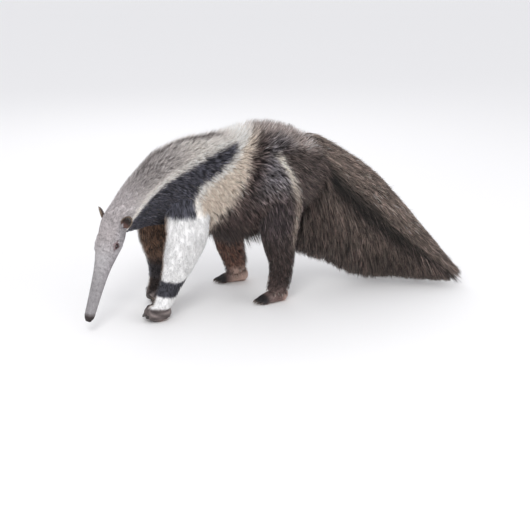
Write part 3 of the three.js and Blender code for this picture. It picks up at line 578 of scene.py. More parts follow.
def skinGrid(run, t, angles, domes, rings):
    # rings of the run's surface at each t, then a round dome of rings at each end down to its pole
    grid = runSurface(run, t[:, None] + 0 * angles, angles + 0 * t[:, None])
    parts = []
    for end, dome, side in ((0, domes[0], -1), (-1, domes[1], 1)):
        centre, axis = runSection(run, t[end])[:2]
        lift = np.linspace(0, np.pi / 2, rings + 1)[1:]
        cap = centre + (grid[end] - centre) * np.cos(lift)[:, None, None] \
            + axis * side * dome * np.sin(lift)[:, None, None]
        parts.append(cap[::-1] if end == 0 else cap)
    return np.concatenate([parts[0], grid, parts[1]])


def meshObject(name, points, faces):
    # one mesh object from an array of points and an array of faces with equal numbers of corners
    mesh = bpy.data.meshes.new(name)
    corners = faces.shape[1]
    mesh.vertices.add(len(points))
    mesh.vertices.foreach_set("co", points.astype(np.float32).ravel())
    mesh.loops.add(faces.size)
    mesh.loops.foreach_set("vertex_index", faces.astype(np.int32).ravel())
    mesh.polygons.add(len(faces))
    mesh.polygons.foreach_set("loop_start", np.arange(0, faces.size, corners, dtype=np.int32))
    mesh.polygons.foreach_set("use_smooth", np.ones(len(faces), bool))
    mesh.update(calc_edges=True)
    item = bpy.data.objects.new(name, mesh)
    bpy.context.scene.collection.objects.link(item)
    return item


def facingOut(points, faces):
    # the triangles of a closed shape in the order that gives it a positive volume
    corner = points[faces] - points[0]
    volume = np.sum(corner[:, 0] * np.cross(corner[:, 1], corner[:, 2]))
    return faces if volume > 0 else faces[:, ::-1]


def closedGrid(grid):
    # points and triangles of a closed shape from rings whose first and last have shrunk to points
    rows, around = grid.shape[:2]
    points = np.vstack([grid[1:-1].reshape(-1, 3), grid[0].mean(axis=0), grid[-1].mean(axis=0)])
    k = np.arange(around)
    first = (np.arange(rows - 3) * around)[:, None]
    a, b = (first + k).ravel(), (first + (k + 1) % around).ravel()
    south, north = len(points) - 2, len(points) - 1
    last = (rows - 3) * around
    faces = np.vstack([
        np.column_stack([a, b, b + around]), np.column_stack([a, b + around, a + around]),
        np.column_stack([(k + 1) % around, k, np.full(around, south)]),
        np.column_stack([last + k, last + (k + 1) % around, np.full(around, north)])])
    return points, facingOut(points, faces)


def pointsOf(item):
    # an object's points as an array
    points = np.empty(len(item.data.vertices) * 3, np.float32)
    item.data.vertices.foreach_get("co", points)
    return points.reshape(-1, 3).astype(float)


def setPoints(item, points):
    # moves an object's points to the places of an array
    item.data.vertices.foreach_set("co", points.astype(np.float32).ravel())
    item.data.update()


def setColours(item, colours):
    # the markings: screen colours are stored as light
    light = np.where(colours <= 0.04045, colours / 12.92, ((np.clip(colours, 0, 1) + 0.055) / 1.055) ** 2.4)
    layer = item.data.color_attributes.new("markings", "FLOAT_COLOR", "POINT")
    layer.data.foreach_set("color", np.column_stack([light, np.ones(len(light))]).astype(np.float32).ravel())


def setCorners(item, name, places):
    # a UV map from one place for each corner of the faces
    item.data.uv_layers.new(name=name).data.foreach_set("uv", places.astype(np.float32).ravel())


# How finely the skins are drawn: columns round, metres between rows, and the domes at the ends with their
# rows. The body's columns are crowded to the sides, and its rows are finest on the head and at the eyes.
bodySkin = {"around": 144, "crowd": 0.22, "headStep": 0.0019, "eyeStep": 0.0010, "trunkStep": 0.0085,
            "domes": (0.004, 0.014), "rings": 8}
tailSkin = {"around": 40, "step": 0.008, "domes": (0.006, 0.012), "rings": 6}
legSkin = {"around": 48, "step": 0.0065, "finer": 0.003, "domes": (0.01, 0.004), "rings": 6}
footSkin = {"around": 84, "step": 0.0017, "domes": (0.003, 0.005), "rings": 6, "toe": (18, 26)}
# heights and depths of the face's relief in metres
faceRelief = {"soft": 0.0011, "lid": 0.0004, "rim": 0.0006, "fold": 0.0008, "open": 0.0075, "cheek": 0.0012,
              "nostril": 0.0035, "nostrilRim": 0.0006, "mouth": 0.0020, "lip": 0.0008, "wrinkle": 0.00035}


def bodyStep(t):
    # the head's step, eased to the trunk's behind the crown and to the eye's round the eyes
    station = t * body["last"]
    step = bodySkin["headStep"] + (bodySkin["trunkStep"] - bodySkin["headStep"]) * smooth(9.6, 12.6, station)
    return step + (bodySkin["eyeStep"] - step) * bell(station - eyeShape["station"], 0.8)


def lipLine(far, high):
    # height over the line between the lips, which falls with the distance from the nose's tip
    return high + 0.0062 + 0.06 * far


def lidRelief(points, side):
    # the lids swell over the eye and open in an almond, with folds over and under it and one on the cheek
    centre, ahead, over, out = eyeFrame(body, side)
    ring, x, y = eyeRing(points, side)
    z = (points - centre) @ out
    long, tall, deep = eyeShape["lids"]
    swell = deep * np.sqrt(np.clip(1 - (x / long) ** 2 - (y / tall) ** 2, 0, 1))
    soft = faceRelief["soft"]
    lifted = soft * np.logaddexp(z / soft, (swell - faceRelief["lid"]) / soft)
    lifted += faceRelief["rim"] * bell(ring - 1.2, 0.16) \
        - faceRelief["fold"] * bell(ring - 1.85, 0.2) * smooth(-0.003, 0.002, y)
    lifted -= faceRelief["fold"] * bell(ring - 2.6, 0.25) * smooth(0.002, -0.004, y)
    lifted -= faceRelief["open"] * smooth(1.05, 0.8, ring)
    lifted -= faceRelief["cheek"] * bell(np.hypot(x + 0.003, y) - 0.0215, 0.002) * smooth(0.002, -0.009, x)
    near = smooth(0.033, 0.026, np.hypot(x, y)) * (ring < 90)
    return points + out * (near * (lifted - z))[..., None]


def headRelief(points):
    # the lids, then the nostrils as sunk ovals with a rim, and the mouth as a groove between two lips
    moved = lidRelief(lidRelief(points, 1), -1)
    left, up = runSection(body, np.array(1 / body["last"]))[2:4]
    rel = moved - noseTip
    far = rel @ headAxis
    across, high = rel @ left, rel @ up
    outward = unit(rel - headAxis * np.clip(far, 0.006, None)[..., None])
    for side in (1, -1):
        pit = np.sqrt(((far - 0.0025) / 0.004) ** 2 + ((across - side * 0.008) / 0.0038) ** 2
                      + ((high - 0.0035) / 0.003) ** 2)
        sunk = faceRelief["nostril"] * smooth(1.1, 0.4, pit) \
            - faceRelief["nostrilRim"] * bell(pit - 1.45, 0.3)
        moved = moved - outward * sunk[..., None]
    lip = lipLine(far, high)
    groove = faceRelief["mouth"] * bell(lip, 0.0009) - faceRelief["lip"] * bell(np.abs(lip) - 0.0027, 0.0014)
    return moved - outward * (smooth(0.03, 0.021, far) * groove)[..., None]


def headWrinkles(points, station):
    # low waves along the snout and the brow, a third of a millimetre deep
    far = (points - noseTip) @ headAxis
    out = unit(points - runSection(body, station / body["last"])[0])
    wave = np.sin(far / 0.0026 + 4 * out[..., 0] + 1.7 * np.sin(far / 0.011)) \
        * np.sin(far / 0.0125 + 5 * out[..., 2] + 3 * out[..., 1])
    show = smooth(0.03, 0.07, far) * smooth(0.33, 0.27, far)
    return points + out * (faceRelief["wrinkle"] * wave * show)[..., None]


def makeBodySkin():
    # rings along the body with a dome at each end; the head's rings get the wrinkles and the face
    theta = evenTurn(bodySkin["around"])
    angles = theta - bodySkin["crowd"] * np.sin(2 * theta)
    t = evenPlaces(body, bodyStep)
    grid = skinGrid(body, t, angles, bodySkin["domes"], bodySkin["rings"])
    rings = np.concatenate([np.zeros(bodySkin["rings"]), t, np.ones(bodySkin["rings"])])
    head = rings * body["last"] < crownStation + 1.5
    station = np.repeat(rings[head][:, None] * body["last"], len(angles), axis=1)
    grid[head] = headRelief(headWrinkles(grid[head], station))
    return closedGrid(grid)


def makeEarSkin(side):
    # a leaf with a bulging back and a deep cup in front, its rim rolled a little and its tip pointed
    middle, across, tip, face = earFrame(side)
    around = evenTurn(52)
    back, front = np.linspace(0, 1, 12) ** 0.7, 0.965 * np.linspace(1, 0, 14)
    reach = np.concatenate([back, front])[:, None]
    cup = -(earShape["deep"] - earShape["wall"]) * np.sqrt(1 - front ** 2) + 0.0006
    depth = np.concatenate([-earShape["deep"] * np.sqrt(1 - back ** 2), cup])[:, None]
    curl = 0.0022 * bell(reach - 0.98, 0.16) * np.cos(around) ** 2
    inside = np.arange(len(reach))[:, None] > len(back)
    ridge = 0.0007 * bell(reach - 0.55, 0.3) * np.sin(3 * around) * inside
    x, y = earOutline(reach, around)
    z = depth + curl + ridge
    return closedGrid(middle + x[..., None] * across + y[..., None] * tip + z[..., None] * face)


def onFloor(grid, soften=0.0012):
    # heights under the floor are rolled flat on it
    height = soften * np.logaddexp(grid[..., 2] / soften, 0)
    grid[..., 2] = np.where(height < 0.0009, 0, height)
    return grid


# the feet's relief: where grooves and knuckles lie across, in millimetres, and their heights in metres
footFolds = {"toes": (-15.5, -5.2, 5.2, 15.5), "fingers": (-8.5, 8.5), "knuckles": (-17, 0, 17),
             "toeGroove": 0.0016, "fingerGroove": 0.0022, "knuckle": 0.0026, "crease": 0.002,
             "fold": 0.0005, "heel": 0.0016}


def footRelief(name, points):
    # grooves between the toes run up the foot, low folds cross it, and the fist has knuckles and a
    # crease over its pad
    back, left = footFrame(name)[1:]
    far, across = footPlaces(name, points)
    high = points[..., 2]
    out = unit(across[..., None] * left + (high - 0.018)[..., None] * np.array([0, 0, 1.0]) - 0.004 * back)
    fold = np.sin((far + 0.2 * np.abs(across)) / 0.00075 + 2 * np.sin(across / 0.005)
                  + 1.3 * np.sin(high / 0.004))
    if name.startswith("hind"):
        groove = sum(bell(across - place * mm * (1 - 4 * far), 0.0017) for place in footFolds["toes"])
        move = -footFolds["toeGroove"] * groove * smooth(0.055, 0.018, far) * smooth(0.008, 0.014, high)
        move = move + footFolds["fold"] * fold * smooth(0.03, 0.05, far) * smooth(0.1, 0.08, far)
        move = move + footFolds["heel"] * bell(np.hypot(far - 0.088, high - 0.012), 0.011)
        return points + out * move[..., None]
    knuckle = sum(bell(np.hypot(far - 0.016, across - place * mm), 0.0065) for place in footFolds["knuckles"])
    groove = sum(bell(across - place * mm, 0.0018) for place in footFolds["fingers"])
    move = footFolds["knuckle"] * knuckle * smooth(0.02, 0.035, high) \
        - footFolds["fingerGroove"] * groove * smooth(0.045, 0.02, far)
    move = move - footFolds["crease"] * bell(high - 0.013 - 0.05 * far, 0.0016) \
        + footFolds["fold"] * fold * smooth(0.02, 0.03, far)
    return points + out * move[..., None]


def makeLegSkins(name):
    # the leg, its foot and its toes, each a closed shape that stands flat on the floor
    t = evenPlaces(legs[name], lambda t: legSkin["step"] - legSkin["finer"] * t)
    leg = skinGrid(legs[name], t, evenTurn(legSkin["around"]), legSkin["domes"], legSkin["rings"])
    t = evenPlaces(feet[name], lambda t: footSkin["step"])
    foot = skinGrid(feet[name], t, evenTurn(footSkin["around"]), footSkin["domes"], footSkin["rings"])
    shapes = [closedGrid(onFloor(leg)), closedGrid(onFloor(footRelief(name, foot)))]
    back, left = footFrame(name)[1:]
    up = np.array([0, 0, 1.0])
    lean = np.linspace(0, np.pi, footSkin["toe"][0])[:, None, None]
    turn = evenTurn(footSkin["toe"][1])[None, :, None]
    for place, (a, b, c) in feetShape["hindToes" if name.startswith("hind") else "foreToes"]:
        joint = np.sin(lean) * (1 - 0.08 * bell(np.cos(lean) - 0.15, 0.14))
        grid = inFoot(name, *place) - back * np.cos(lean) * a * mm \
            + joint * (np.cos(turn) * left * b * mm + np.sin(turn) * up * c * mm)
        shapes.append(closedGrid(onFloor(footRelief(name, grid))))
    return shapes


def joinShapes(name, shapes):
    # one union of closed shapes
    items = [meshObject(name + "Part", points, faces) for points, faces in shapes]
    others = bpy.data.collections.new(name + "Parts")
    bpy.context.scene.collection.children.link(others)
    for item in items[1:]:
        bpy.context.scene.collection.objects.unlink(item)
        others.objects.link(item)
    union = items[0].modifiers.new("union", "BOOLEAN")
    union.operation = "UNION"
    union.operand_type = "COLLECTION"
    union.collection = others
    union.solver = "MANIFOLD"
    depsgraph = bpy.context.evaluated_depsgraph_get()
    joined = bpy.data.objects.new(name, bpy.data.meshes.new_from_object(items[0].evaluated_get(depsgraph)))
    bpy.context.scene.collection.objects.link(joined)
    for item in items:
        bpy.data.objects.remove(item)
    bpy.data.collections.remove(others)
    joined.data.name = name
    joined.data.materials.clear()
    return joined


def softenJoins(item, reach=0.02, turns=16):
    # points close to the body and to a limb at once are drawn to the mean of their neighbours
    points = pointsOf(item)
    edges = np.empty(len(item.data.edges) * 2, np.int32)
    item.data.edges.foreach_get("vertices", edges)
    a, b = edges.reshape(-1, 2).T
    onBody = np.abs(placeOn(body, points)[2])
    onLimb = np.full(len(points), 1.0)
    for run in limbs:
        onLimb = np.minimum(onLimb, np.abs(placeOn(run, points)[2]))
    weight = smooth(reach, reach * 0.35, np.maximum(onBody, onLimb)) * (points[:, 2] > 0.15)
    count = np.bincount(edges, minlength=len(points))
    for _ in range(turns):
        mean = np.stack([np.bincount(a, points[b, k], len(points)) + np.bincount(b, points[a, k], len(points))
                         for k in range(3)], axis=1) / count[:, None]
        points += 0.6 * weight[:, None] * (mean - points)
    setPoints(item, points)


def skinLie(points):
    # the place along the nearest run, to the left and up in metres, which the fur's grain follows, and
    # where the skin is bare: nose tip, lids, the ears' inside, soles and heels
    lie, least = np.zeros_like(points), np.full(len(points), np.inf)
    for name, run in {"body": body, "tail": tail, **legs}.items():
        t, angle, outside = placeOn(run, points)
        centre, axis, left, up, sizes = runSection(run, t)
        rel = points - centre
        places = np.linspace(0, 1, 200)
        steps = np.linalg.norm(np.diff(alongCurve(run["centre"], places), axis=0), axis=1)
        far = np.interp(t, places, summed(steps))
        here = np.stack([far, np.sum(rel * left, axis=1), np.sum(rel * up, axis=1)], axis=1)
        nearer = np.abs(outside) < least
        lie[nearer], least[nearer] = here[nearer], np.abs(outside)[nearer]
    bare = smooth(0.014, 0.008, (points - noseTip) @ headAxis)
    for side in (1, -1):
        bare = np.maximum(bare, smooth(2.4, 1.6, eyeRing(points, side)[0]))
        middle, across, tip, face = earFrame(side)
        rel = points - middle
        inner = (rel @ face > -0.0075) & (np.hypot(rel @ across / 0.015, rel @ tip / 0.0225) < 1)
        bare = np.maximum(bare, 0.8 * inner * clearOfBody(points))
    for name in legShapes:
        onward, across = footPlaces(name, points)
        near = (np.abs(across) < 0.05) & (np.abs(onward - 0.05) < 0.065)
        edge = 0.016 if name.startswith("hind") else 0.036
        low = smooth(edge, edge - 0.006, points[:, 2])
        if name.startswith("hind"):
            low = np.maximum(low, smooth(0.07, 0.082, onward) * smooth(0.042, 0.034, points[:, 2]))
        bare = np.maximum(bare, near * low)
    return lie, bare


tailGrid = skinGrid(tail, evenPlaces(tail, lambda t: tailSkin["step"]), evenTurn(tailSkin["around"]),
                    tailSkin["domes"], tailSkin["rings"])
shapes = [makeBodySkin(), closedGrid(tailGrid), makeEarSkin(1), makeEarSkin(-1)]
for name in legShapes:
    shapes += makeLegSkins(name)
skin = joinShapes("skin", shapes)
softenJoins(skin)
skin.data.polygons.foreach_set("use_smooth", np.ones(len(skin.data.polygons), bool))
points = pointsOf(skin)
setColours(skin, skinMarks(points))
lie, bare = skinLie(points)
for name, kind, field, values in (("lie", "FLOAT_VECTOR", "vector", lie), ("bare", "FLOAT", "value", bare)):
    layer = skin.data.attributes.new(name, kind, "POINT")
    layer.data.foreach_set(field, values.astype(np.float32).ravel())
fleshNodes = ["head", "neck", "torso", "tail", "ear_left", "ear_right"]
for part, owner in (("thigh_", "hind"), ("shank_", "hind"), ("leg_", "fore"), ("foot_", "")):
    fleshNodes += [part + name for name in legShapes if name.startswith(owner)]
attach(skin, "root")
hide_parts(*fleshNodes)
print("skin", len(skin.data.polygons), "faces")


def shuffle(seed):
    # the chance of one coat, the same on every run
    return np.random.default_rng(seed)


def patchOf(run, t, angle):
    # a place on the run's surface, and the cross product of small steps round it and along it
    place = runSurface(run, t, angle)
    return place, np.cross(runSurface(run, t, angle + tick) - place, runSurface(run, t + tick, angle) - place)


def pickByArea(run, t, angle, count, chance):
    # count of the places, each the likelier the larger its patch of the run's surface
    area = np.linalg.norm(patchOf(run, t, angle)[1], axis=1)
    return np.argsort(chance.random(len(t)) ** (area.max() / np.maximum(area, 1e-12)))[::-1][:count]


def scatter(run, count, stations, chance):
    # places spread evenly over a run's surface, chosen from five times as many
    t = chance.uniform(stations[0], stations[1], count * 5) / run["last"]
    angle = chance.uniform(0, 2 * np.pi, count * 5)
    order = pickByArea(run, t, angle, count, chance)
    return t[order], angle[order]


def bundles(run, t, each, radius, chance):
    # every place becomes a bundle of strands rooted within a radius of it, round the same middle
    sizes = runSection(run, t)[4]
    far = radius * np.sqrt(chance.random((len(t), each)))
    way = chance.uniform(0, 2 * np.pi, (len(t), each))
    offT = far * np.cos(way) / np.maximum(runSpeed(run, t), 1e-6)[:, None]
    offAngle = far * np.sin(way) / sizes[:, 2][:, None]
    return np.repeat(np.arange(len(t)), each), offT.ravel(), offAngle.ravel()


def lineOn(run, t, angle, length, fall, low, high, relief=None):
    # root, bend and tip of tufts that lie along a run: the tip is length*cos(fall) further along it and
    # length*sin(fall) down round it, lifted by high shares of the coat's depth, the bend by low shares;
    # what reaches past the run's end goes on along its axis and sinks
    speed = runSpeed(run, t)
    sizes = runSection(run, t)[4]
    rise = np.sin(angle)
    girth = np.hypot(sizes[:, 2] * rise, np.where(rise > 0, sizes[:, 0], sizes[:, 1]) * np.cos(angle))
    stepT = length * np.cos(fall) / np.maximum(speed, 1e-6)
    stepAngle = -np.cos(angle) * length * np.sin(fall) / np.maximum(girth, 0.01)
    line = []
    for share, lift in ((0.0, 0.0), (0.45, low), (1.0, high)):
        place, turn = t + stepT * share, angle + stepAngle * share
        inside = np.clip(place, 0, 1)
        base = runSurface(run, inside, turn)
        if relief:
            base = relief(base)
        centre, axis, left, up, there = runSection(run, inside)
        lifted = unit(base - centre) * (coatDepth(there, turn) * lift)[:, None]
        line.append(base + lifted + (axis - np.array([0, 0, 0.8])) * ((place - inside) * speed)[:, None])
    return line


def normalsOn(run, t, angle):
    # the way out of the run's surface, square to it
    place, normal = patchOf(run, t, angle)
    outward = place - runSection(run, t)[0]
    return unit(normal) * np.sign(np.sum(unit(normal) * outward, axis=1))[:, None]


def tuftMesh(name, line, outward, width, colours, patch, steps=2, ridge=0.4, keep=slice(None)):
    # each tuft is a three-sided spike along a bent line: two edges lie flat and one ridge stands
    # outward, and its width follows (0.65 + 1.3 t) * (1 - t)^0.75; its patch of the bake map is 0.003 wide
    root, bend, tip = (part[keep][:, None] for part in line)
    t = (np.arange(steps) / steps)[None, :, None]
    middle, way = bentLine(root, bend, tip, t), bentWay(root, bend, tip, t)
    side = unit(np.cross(way, outward[keep][:, None]))
    over = np.cross(side, way)
    fill = (0.65 + 1.3 * t) * (1 - t) ** 0.75
    half = side * (width[keep][:, None, None] / 2) * fill
    edge = over * (width[keep] * ridge)[:, None, None] * fill
    rings = np.stack([middle - half, middle + half, middle + edge], axis=2)
    count, size = len(root), steps * 3 + 1
    points = np.concatenate([rings.reshape(count, -1, 3), tip], axis=1).reshape(-1, 3)
    faces = [(0, 1, 2)]
    for ring in range(steps):
        for k in range(3):
            a, b = ring * 3 + k, ring * 3 + (k + 1) % 3
            faces += [(b, a, a + 3), (b, a + 3, b + 3)] if ring < steps - 1 else [(b, a, steps * 3)]
    faces = facingOut(points[:size], np.array(faces))
    faces = (faces[None] + (np.arange(count) * size)[:, None, None]).reshape(-1, 3)
    item = meshObject(name, points, faces)
    share = np.append(np.repeat(np.arange(steps) / steps, 3), 1.0)
    across = np.append(np.tile([-0.5, 0.5, 0.0], steps), 0.0)
    first, last = (part[keep][:, None] for part in colours)
    setColours(item, mix(first, last, share[None] ** 1.2).reshape(-1, 3))
    bake = patch[keep][:, None] + 0.003 * np.stack([share - 0.5, across], axis=-1)[None]
    setCorners(item, "OFBake", bake.reshape(-1, 2)[faces.ravel()])
    strand = np.stack([share + 7.3 * np.arange(count)[:, None] % 61, np.tile(across, (count, 1))], axis=-1)
    setCorners(item, "strand", strand.reshape(-1, 2)[faces.ravel()])
    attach(item, "root")
    print(name, count, "tufts", len(faces), "faces")
    return item


def strandColours(base, chance, settings, owner=None):
    # every bundle and every strand is lighter or darker, the more the darker the coat; some in the grey
    # and brown coat are pale all along, and each is darker at its root and paler at its tip
    count = len(base)
    owner = np.arange(count) if owner is None else owner
    bunch = chance.normal(size=(owner.max() + 1, 1))[owner]
    flat = smooth(0.9, 0.35, base.mean(axis=1))
    dark = flat[:, None]
    value = 1 - 0.14 * dark + settings["bunch"] * (0.15 + 0.85 * dark) * bunch \
        + (0.04 + 0.4 * dark) * chance.normal(size=(count, 1))
    pick = 0.3 * chance.random(owner.max() + 1)[owner] + 0.7 * chance.random(count)
    pale = smooth(1 - settings["grizzle"], 1 - 0.4 * settings["grizzle"], pick) * flat * 0.62
    glint = 0.03 * dark * np.maximum(bunch + 0.8 * chance.normal(size=(count, 1)), -0.8)
    tint = mix(np.clip(base * np.maximum(value, 0.35) + glint, 0, 1), tones["paleHair"], pale)
    ends = mix(tint, tones["paleTip"], settings["tips"] * flat * chance.uniform(0, 1, count) ** 1.5)
    return np.clip(tint * (0.95 + (0.6 - 0.95) * dark), 0, 1), np.clip(ends * 1.05 + 0.01, 0, 1)


def buried(points, runs, depth=0.002):
    # whether a point lies under the skin of one of the runs
    under = np.zeros(len(points), bool)
    for run in runs:
        under |= placeOn(run, points)[2] < -depth
    return under


def unwrapped(t, angle, low=0.03, high=0.97):
    # a place on the bake map from the way along and the turn round, clear of the map's edges
    return np.column_stack([low + (high - low) * t, low + (high - low) * np.mod(angle / (2 * np.pi), 1)])


def mouthLine(points):
    # height over the line between the lips, of points anywhere on the head
    up = runSection(body, np.array(1 / body["last"]))[3]
    rel = points - noseTip
    return lipLine(rel @ headAxis, rel @ up)


# how much strands vary in length and width, as shares, and how far along a strand its colour is taken
vary = {"length": (0.7, 1.1), "width": (0.8, 1.25)}
seen = 0.7
# how far the head's coat keeps from the eyes' opening as its share, and in metres from the ears across
# and along, from the nose's tip and from the lips, over the given distance from the nose
faceClear = {"eye": 1.5, "ear": (0.0165, 0.0245), "nose": 0.012, "lips": 0.0035, "mouth": 0.03}
# The coats on the head, neck and trunk. Lengths and widths are in millimetres by station, and the fall
# is the slant down the flank in degrees by station, taken between the crest and the belly. A bundle's
# strands gather toward its middle, and tips is how much paler a strand ends.
trunkCoat = {"each": 4, "low": 0.65, "high": 1.0, "gather": 0.5}
bodyCoats = {
    "headCoat": {"stations": (0.75, 9.9), "bundles": 18000, "each": 1, "radius": 0, "seed": 1,
                 "length": ((0.7, 2.6), (3, 3.2), (7, 4.0), (9, 5.0), (9.9, 6.5)),
                 "width": ((0.7, 0.55), (9.9, 0.8)), "fall": ((0, 0), (9.9, 8)),
                 "low": 0.28, "high": 0.5, "bunch": 0.08, "tips": 0.1, "grizzle": 0.12},
    "neckCoat": {"stations": (9.7, 12.6), "bundles": 5600, "each": 3, "radius": 4, "seed": 2,
                 "length": ((9.7, 6.5), (10.5, 9), (11.5, 14), (12.6, 20)),
                 "width": ((9.7, 0.9), (12.6, 1.4)),
                 "fall": ((9.7, 8), (12.6, 30)), "low": 0.6, "high": 0.95, "gather": 0.6,
                 "bunch": 0.16, "tips": 0.16, "grizzle": 0.2},
    "shoulderCoat": {"stations": (12.4, 14.9), "bundles": 4700, "radius": 6, "seed": 3, **trunkCoat,
                     "length": ((12.4, 20), (13.5, 24), (14.9, 30)), "width": ((12.4, 1.4), (14.9, 1.9)),
                     "fall": ((12.4, 32), (13.5, 40), (14.9, 42)),
                     "bunch": 0.2, "tips": 0.16, "grizzle": 0.16},
    "flankCoat": {"stations": (14.7, 16.9), "bundles": 3800, "radius": 8, "seed": 4, **trunkCoat,
                  "length": ((14.7, 26), (16.9, 38)), "width": ((14.7, 2.2), (16.9, 2.9)),
                  "fall": ((14.7, 42), (16.9, 46)), "bunch": 0.26, "tips": 0.3, "grizzle": 0.3},
    "rumpCoat": {"stations": (16.7, 19.0), "bundles": 3900, "radius": 8, "seed": 5, **trunkCoat,
                 "length": ((16.7, 46), (17.8, 60), (19, 56)), "width": ((16.7, 2.9), (19, 3.3)),
                 "fall": ((16.7, 46), (19, 40)), "bunch": 0.42, "tips": 0.4, "grizzle": 0.3},
}
# how much longer the coat is under the belly and on the crest, how far past the coat's depth the belly's
# bundles drop, and how much higher the coat stands on the back and at most
hang = {"belly": 1.9, "crest": 1.35, "drop": 1.5, "stand": 1.5, "most": 1.3}


def bodyCoat(name, settings):
    # bundles spread over the trunk lie back and down the flank, and their strands' tips are drawn toward
    # the tip of the bundle's middle; a strand has the colour of the place where most of it shows; the
    # head's strands stand alone and keep clear of the eyes, ears, nose tip and lips
    chance = shuffle(settings["seed"])
    short = settings["each"] == 1
    t, angle = scatter(body, settings["bundles"], settings["stations"], chance)
    if not short:
        keep = ~buried(runSurface(body, t, angle), limbs)
        t, angle = t[keep], angle[keep]
    owner, offT, offAngle = bundles(body, t, settings["each"], settings["radius"] * mm, chance)
    count = len(owner)
    station, high = t[owner] * body["last"], elevation(angle[owner])
    length = along(settings["length"], station) * mm * chance.uniform(*vary["length"], count)
    if not short:
        under = smooth(-40, -75, high) * smooth(12.5, 14.5, station)
        length = length * (1 + (hang["belly"] - 1) * under) \
            * (1 + (hang["crest"] - 1) * smooth(50, 80, high) * smooth(17.6, 16.8, station))
    fall = np.radians(along(settings["fall"], station) + 7 * chance.normal(size=count)
                      + (6 * chance.normal(size=len(t)))[owner])
    lift = settings["high"] * chance.uniform(0.6, 1.1, count) * chance.uniform(0.8, 1.08, len(t))[owner]
    if not short:
        lift = lift * (1 + hang["drop"] * (under * chance.random(len(t))[owner] ** 1.6))
        back = smooth(40, 75, high) * smooth(14.2, 16, station)
        most = hang["most"] + 0.14 * smooth(16.8, 17.4, station) - 0.3 * smooth(18.3, 19.0, station)
        lift = np.where(back > 0, np.minimum(lift * (1 + (hang["stand"] - 1) * back), most), lift)
    rootT, rootAngle = t[owner] + offT, angle[owner] + offAngle
    line = lineOn(body, rootT, rootAngle, length, fall, settings["low"], lift, headRelief if short else None)
    if not short:
        middle = lineOn(body, t[owner], angle[owner], length, fall, settings["low"], lift)
        line[2] = mix(middle[2], line[2], np.full(count, settings["gather"]))
    outward = normalsOn(body, rootT, rootAngle)
    keep = np.ones(count, bool)
    if short:
        for side in (1, -1):
            keep &= eyeRing(line[0], side)[0] > faceClear["eye"]
            middle, across, tip = earFrame(side)[:3]
            rel = line[0] - middle
            wide, tall = faceClear["ear"]
            keep &= np.hypot(rel @ across / wide, rel @ tip / tall) > 1
        far = (line[0] - noseTip) @ headAxis
        onLips = (np.abs(mouthLine(line[0])) < faceClear["lips"]) & (far < faceClear["mouth"])
        keep &= (far > faceClear["nose"]) & ~onLips
    line[0] = line[0] - outward * (0.0006 if short else 0.002)
    seenT = rootT + seen * length / np.maximum(runSpeed(body, rootT), 1e-6) * np.cos(fall)
    seenT = np.clip(seenT + 0.0022 * chance.normal(size=count), 0, 1)
    halfWidth = runSection(body, rootT)[4][:, 2]
    seenAngle = rootAngle - seen * np.cos(rootAngle) * length * np.sin(fall) / halfWidth
    base = bodyMarks(seenT * body["last"], seenAngle + 0.025 * chance.normal(size=count))
    if short:
        base = headMarks(base, line[0])
    colours = strandColours(base, chance, settings, owner)
    width = along(settings["width"], station) * mm * chance.uniform(*vary["width"], count)
    return tuftMesh(name, line, outward, width, colours, unwrapped(rootT, rootAngle), keep=keep)


# Under the tail's surface long strands grow from the core to the outline of the hanging hair: by the
# elevation of the root, the elevation of the tip and how many stations further back it hangs. Low is the
# share of bundles rooted low, full the share of strands that go all the way, and ends how far each goes.
tailFlow = {"root": (-90, -38, 4, 44, 90), "tip": (-90, -60, -8, 50, 90), "back": (0.05, 0.15, 0.6, 1.1, 1.3),
            "lead": 1, "lean": 0.4, "at": 0.42, "rise": 0.14, "topRise": 0.05}
tailStrands = {"bundles": 2300, "each": 4, "seed": 21, "width": (2.2, 3.4), "bunch": 0.42, "tips": 0.35,
               "grizzle": 0.3, "low": 0.62, "full": 0.7, "ends": (0.55, 0.93, 1.0)}
tailClear = 0.012  # the lowest that a tip of the tail's hair hangs over the floor


def onSide(side, high):
    # the angle round a run from the elevation in degrees on the left or the right
    return np.where(side > 0, np.radians(high), np.pi - np.radians(high))


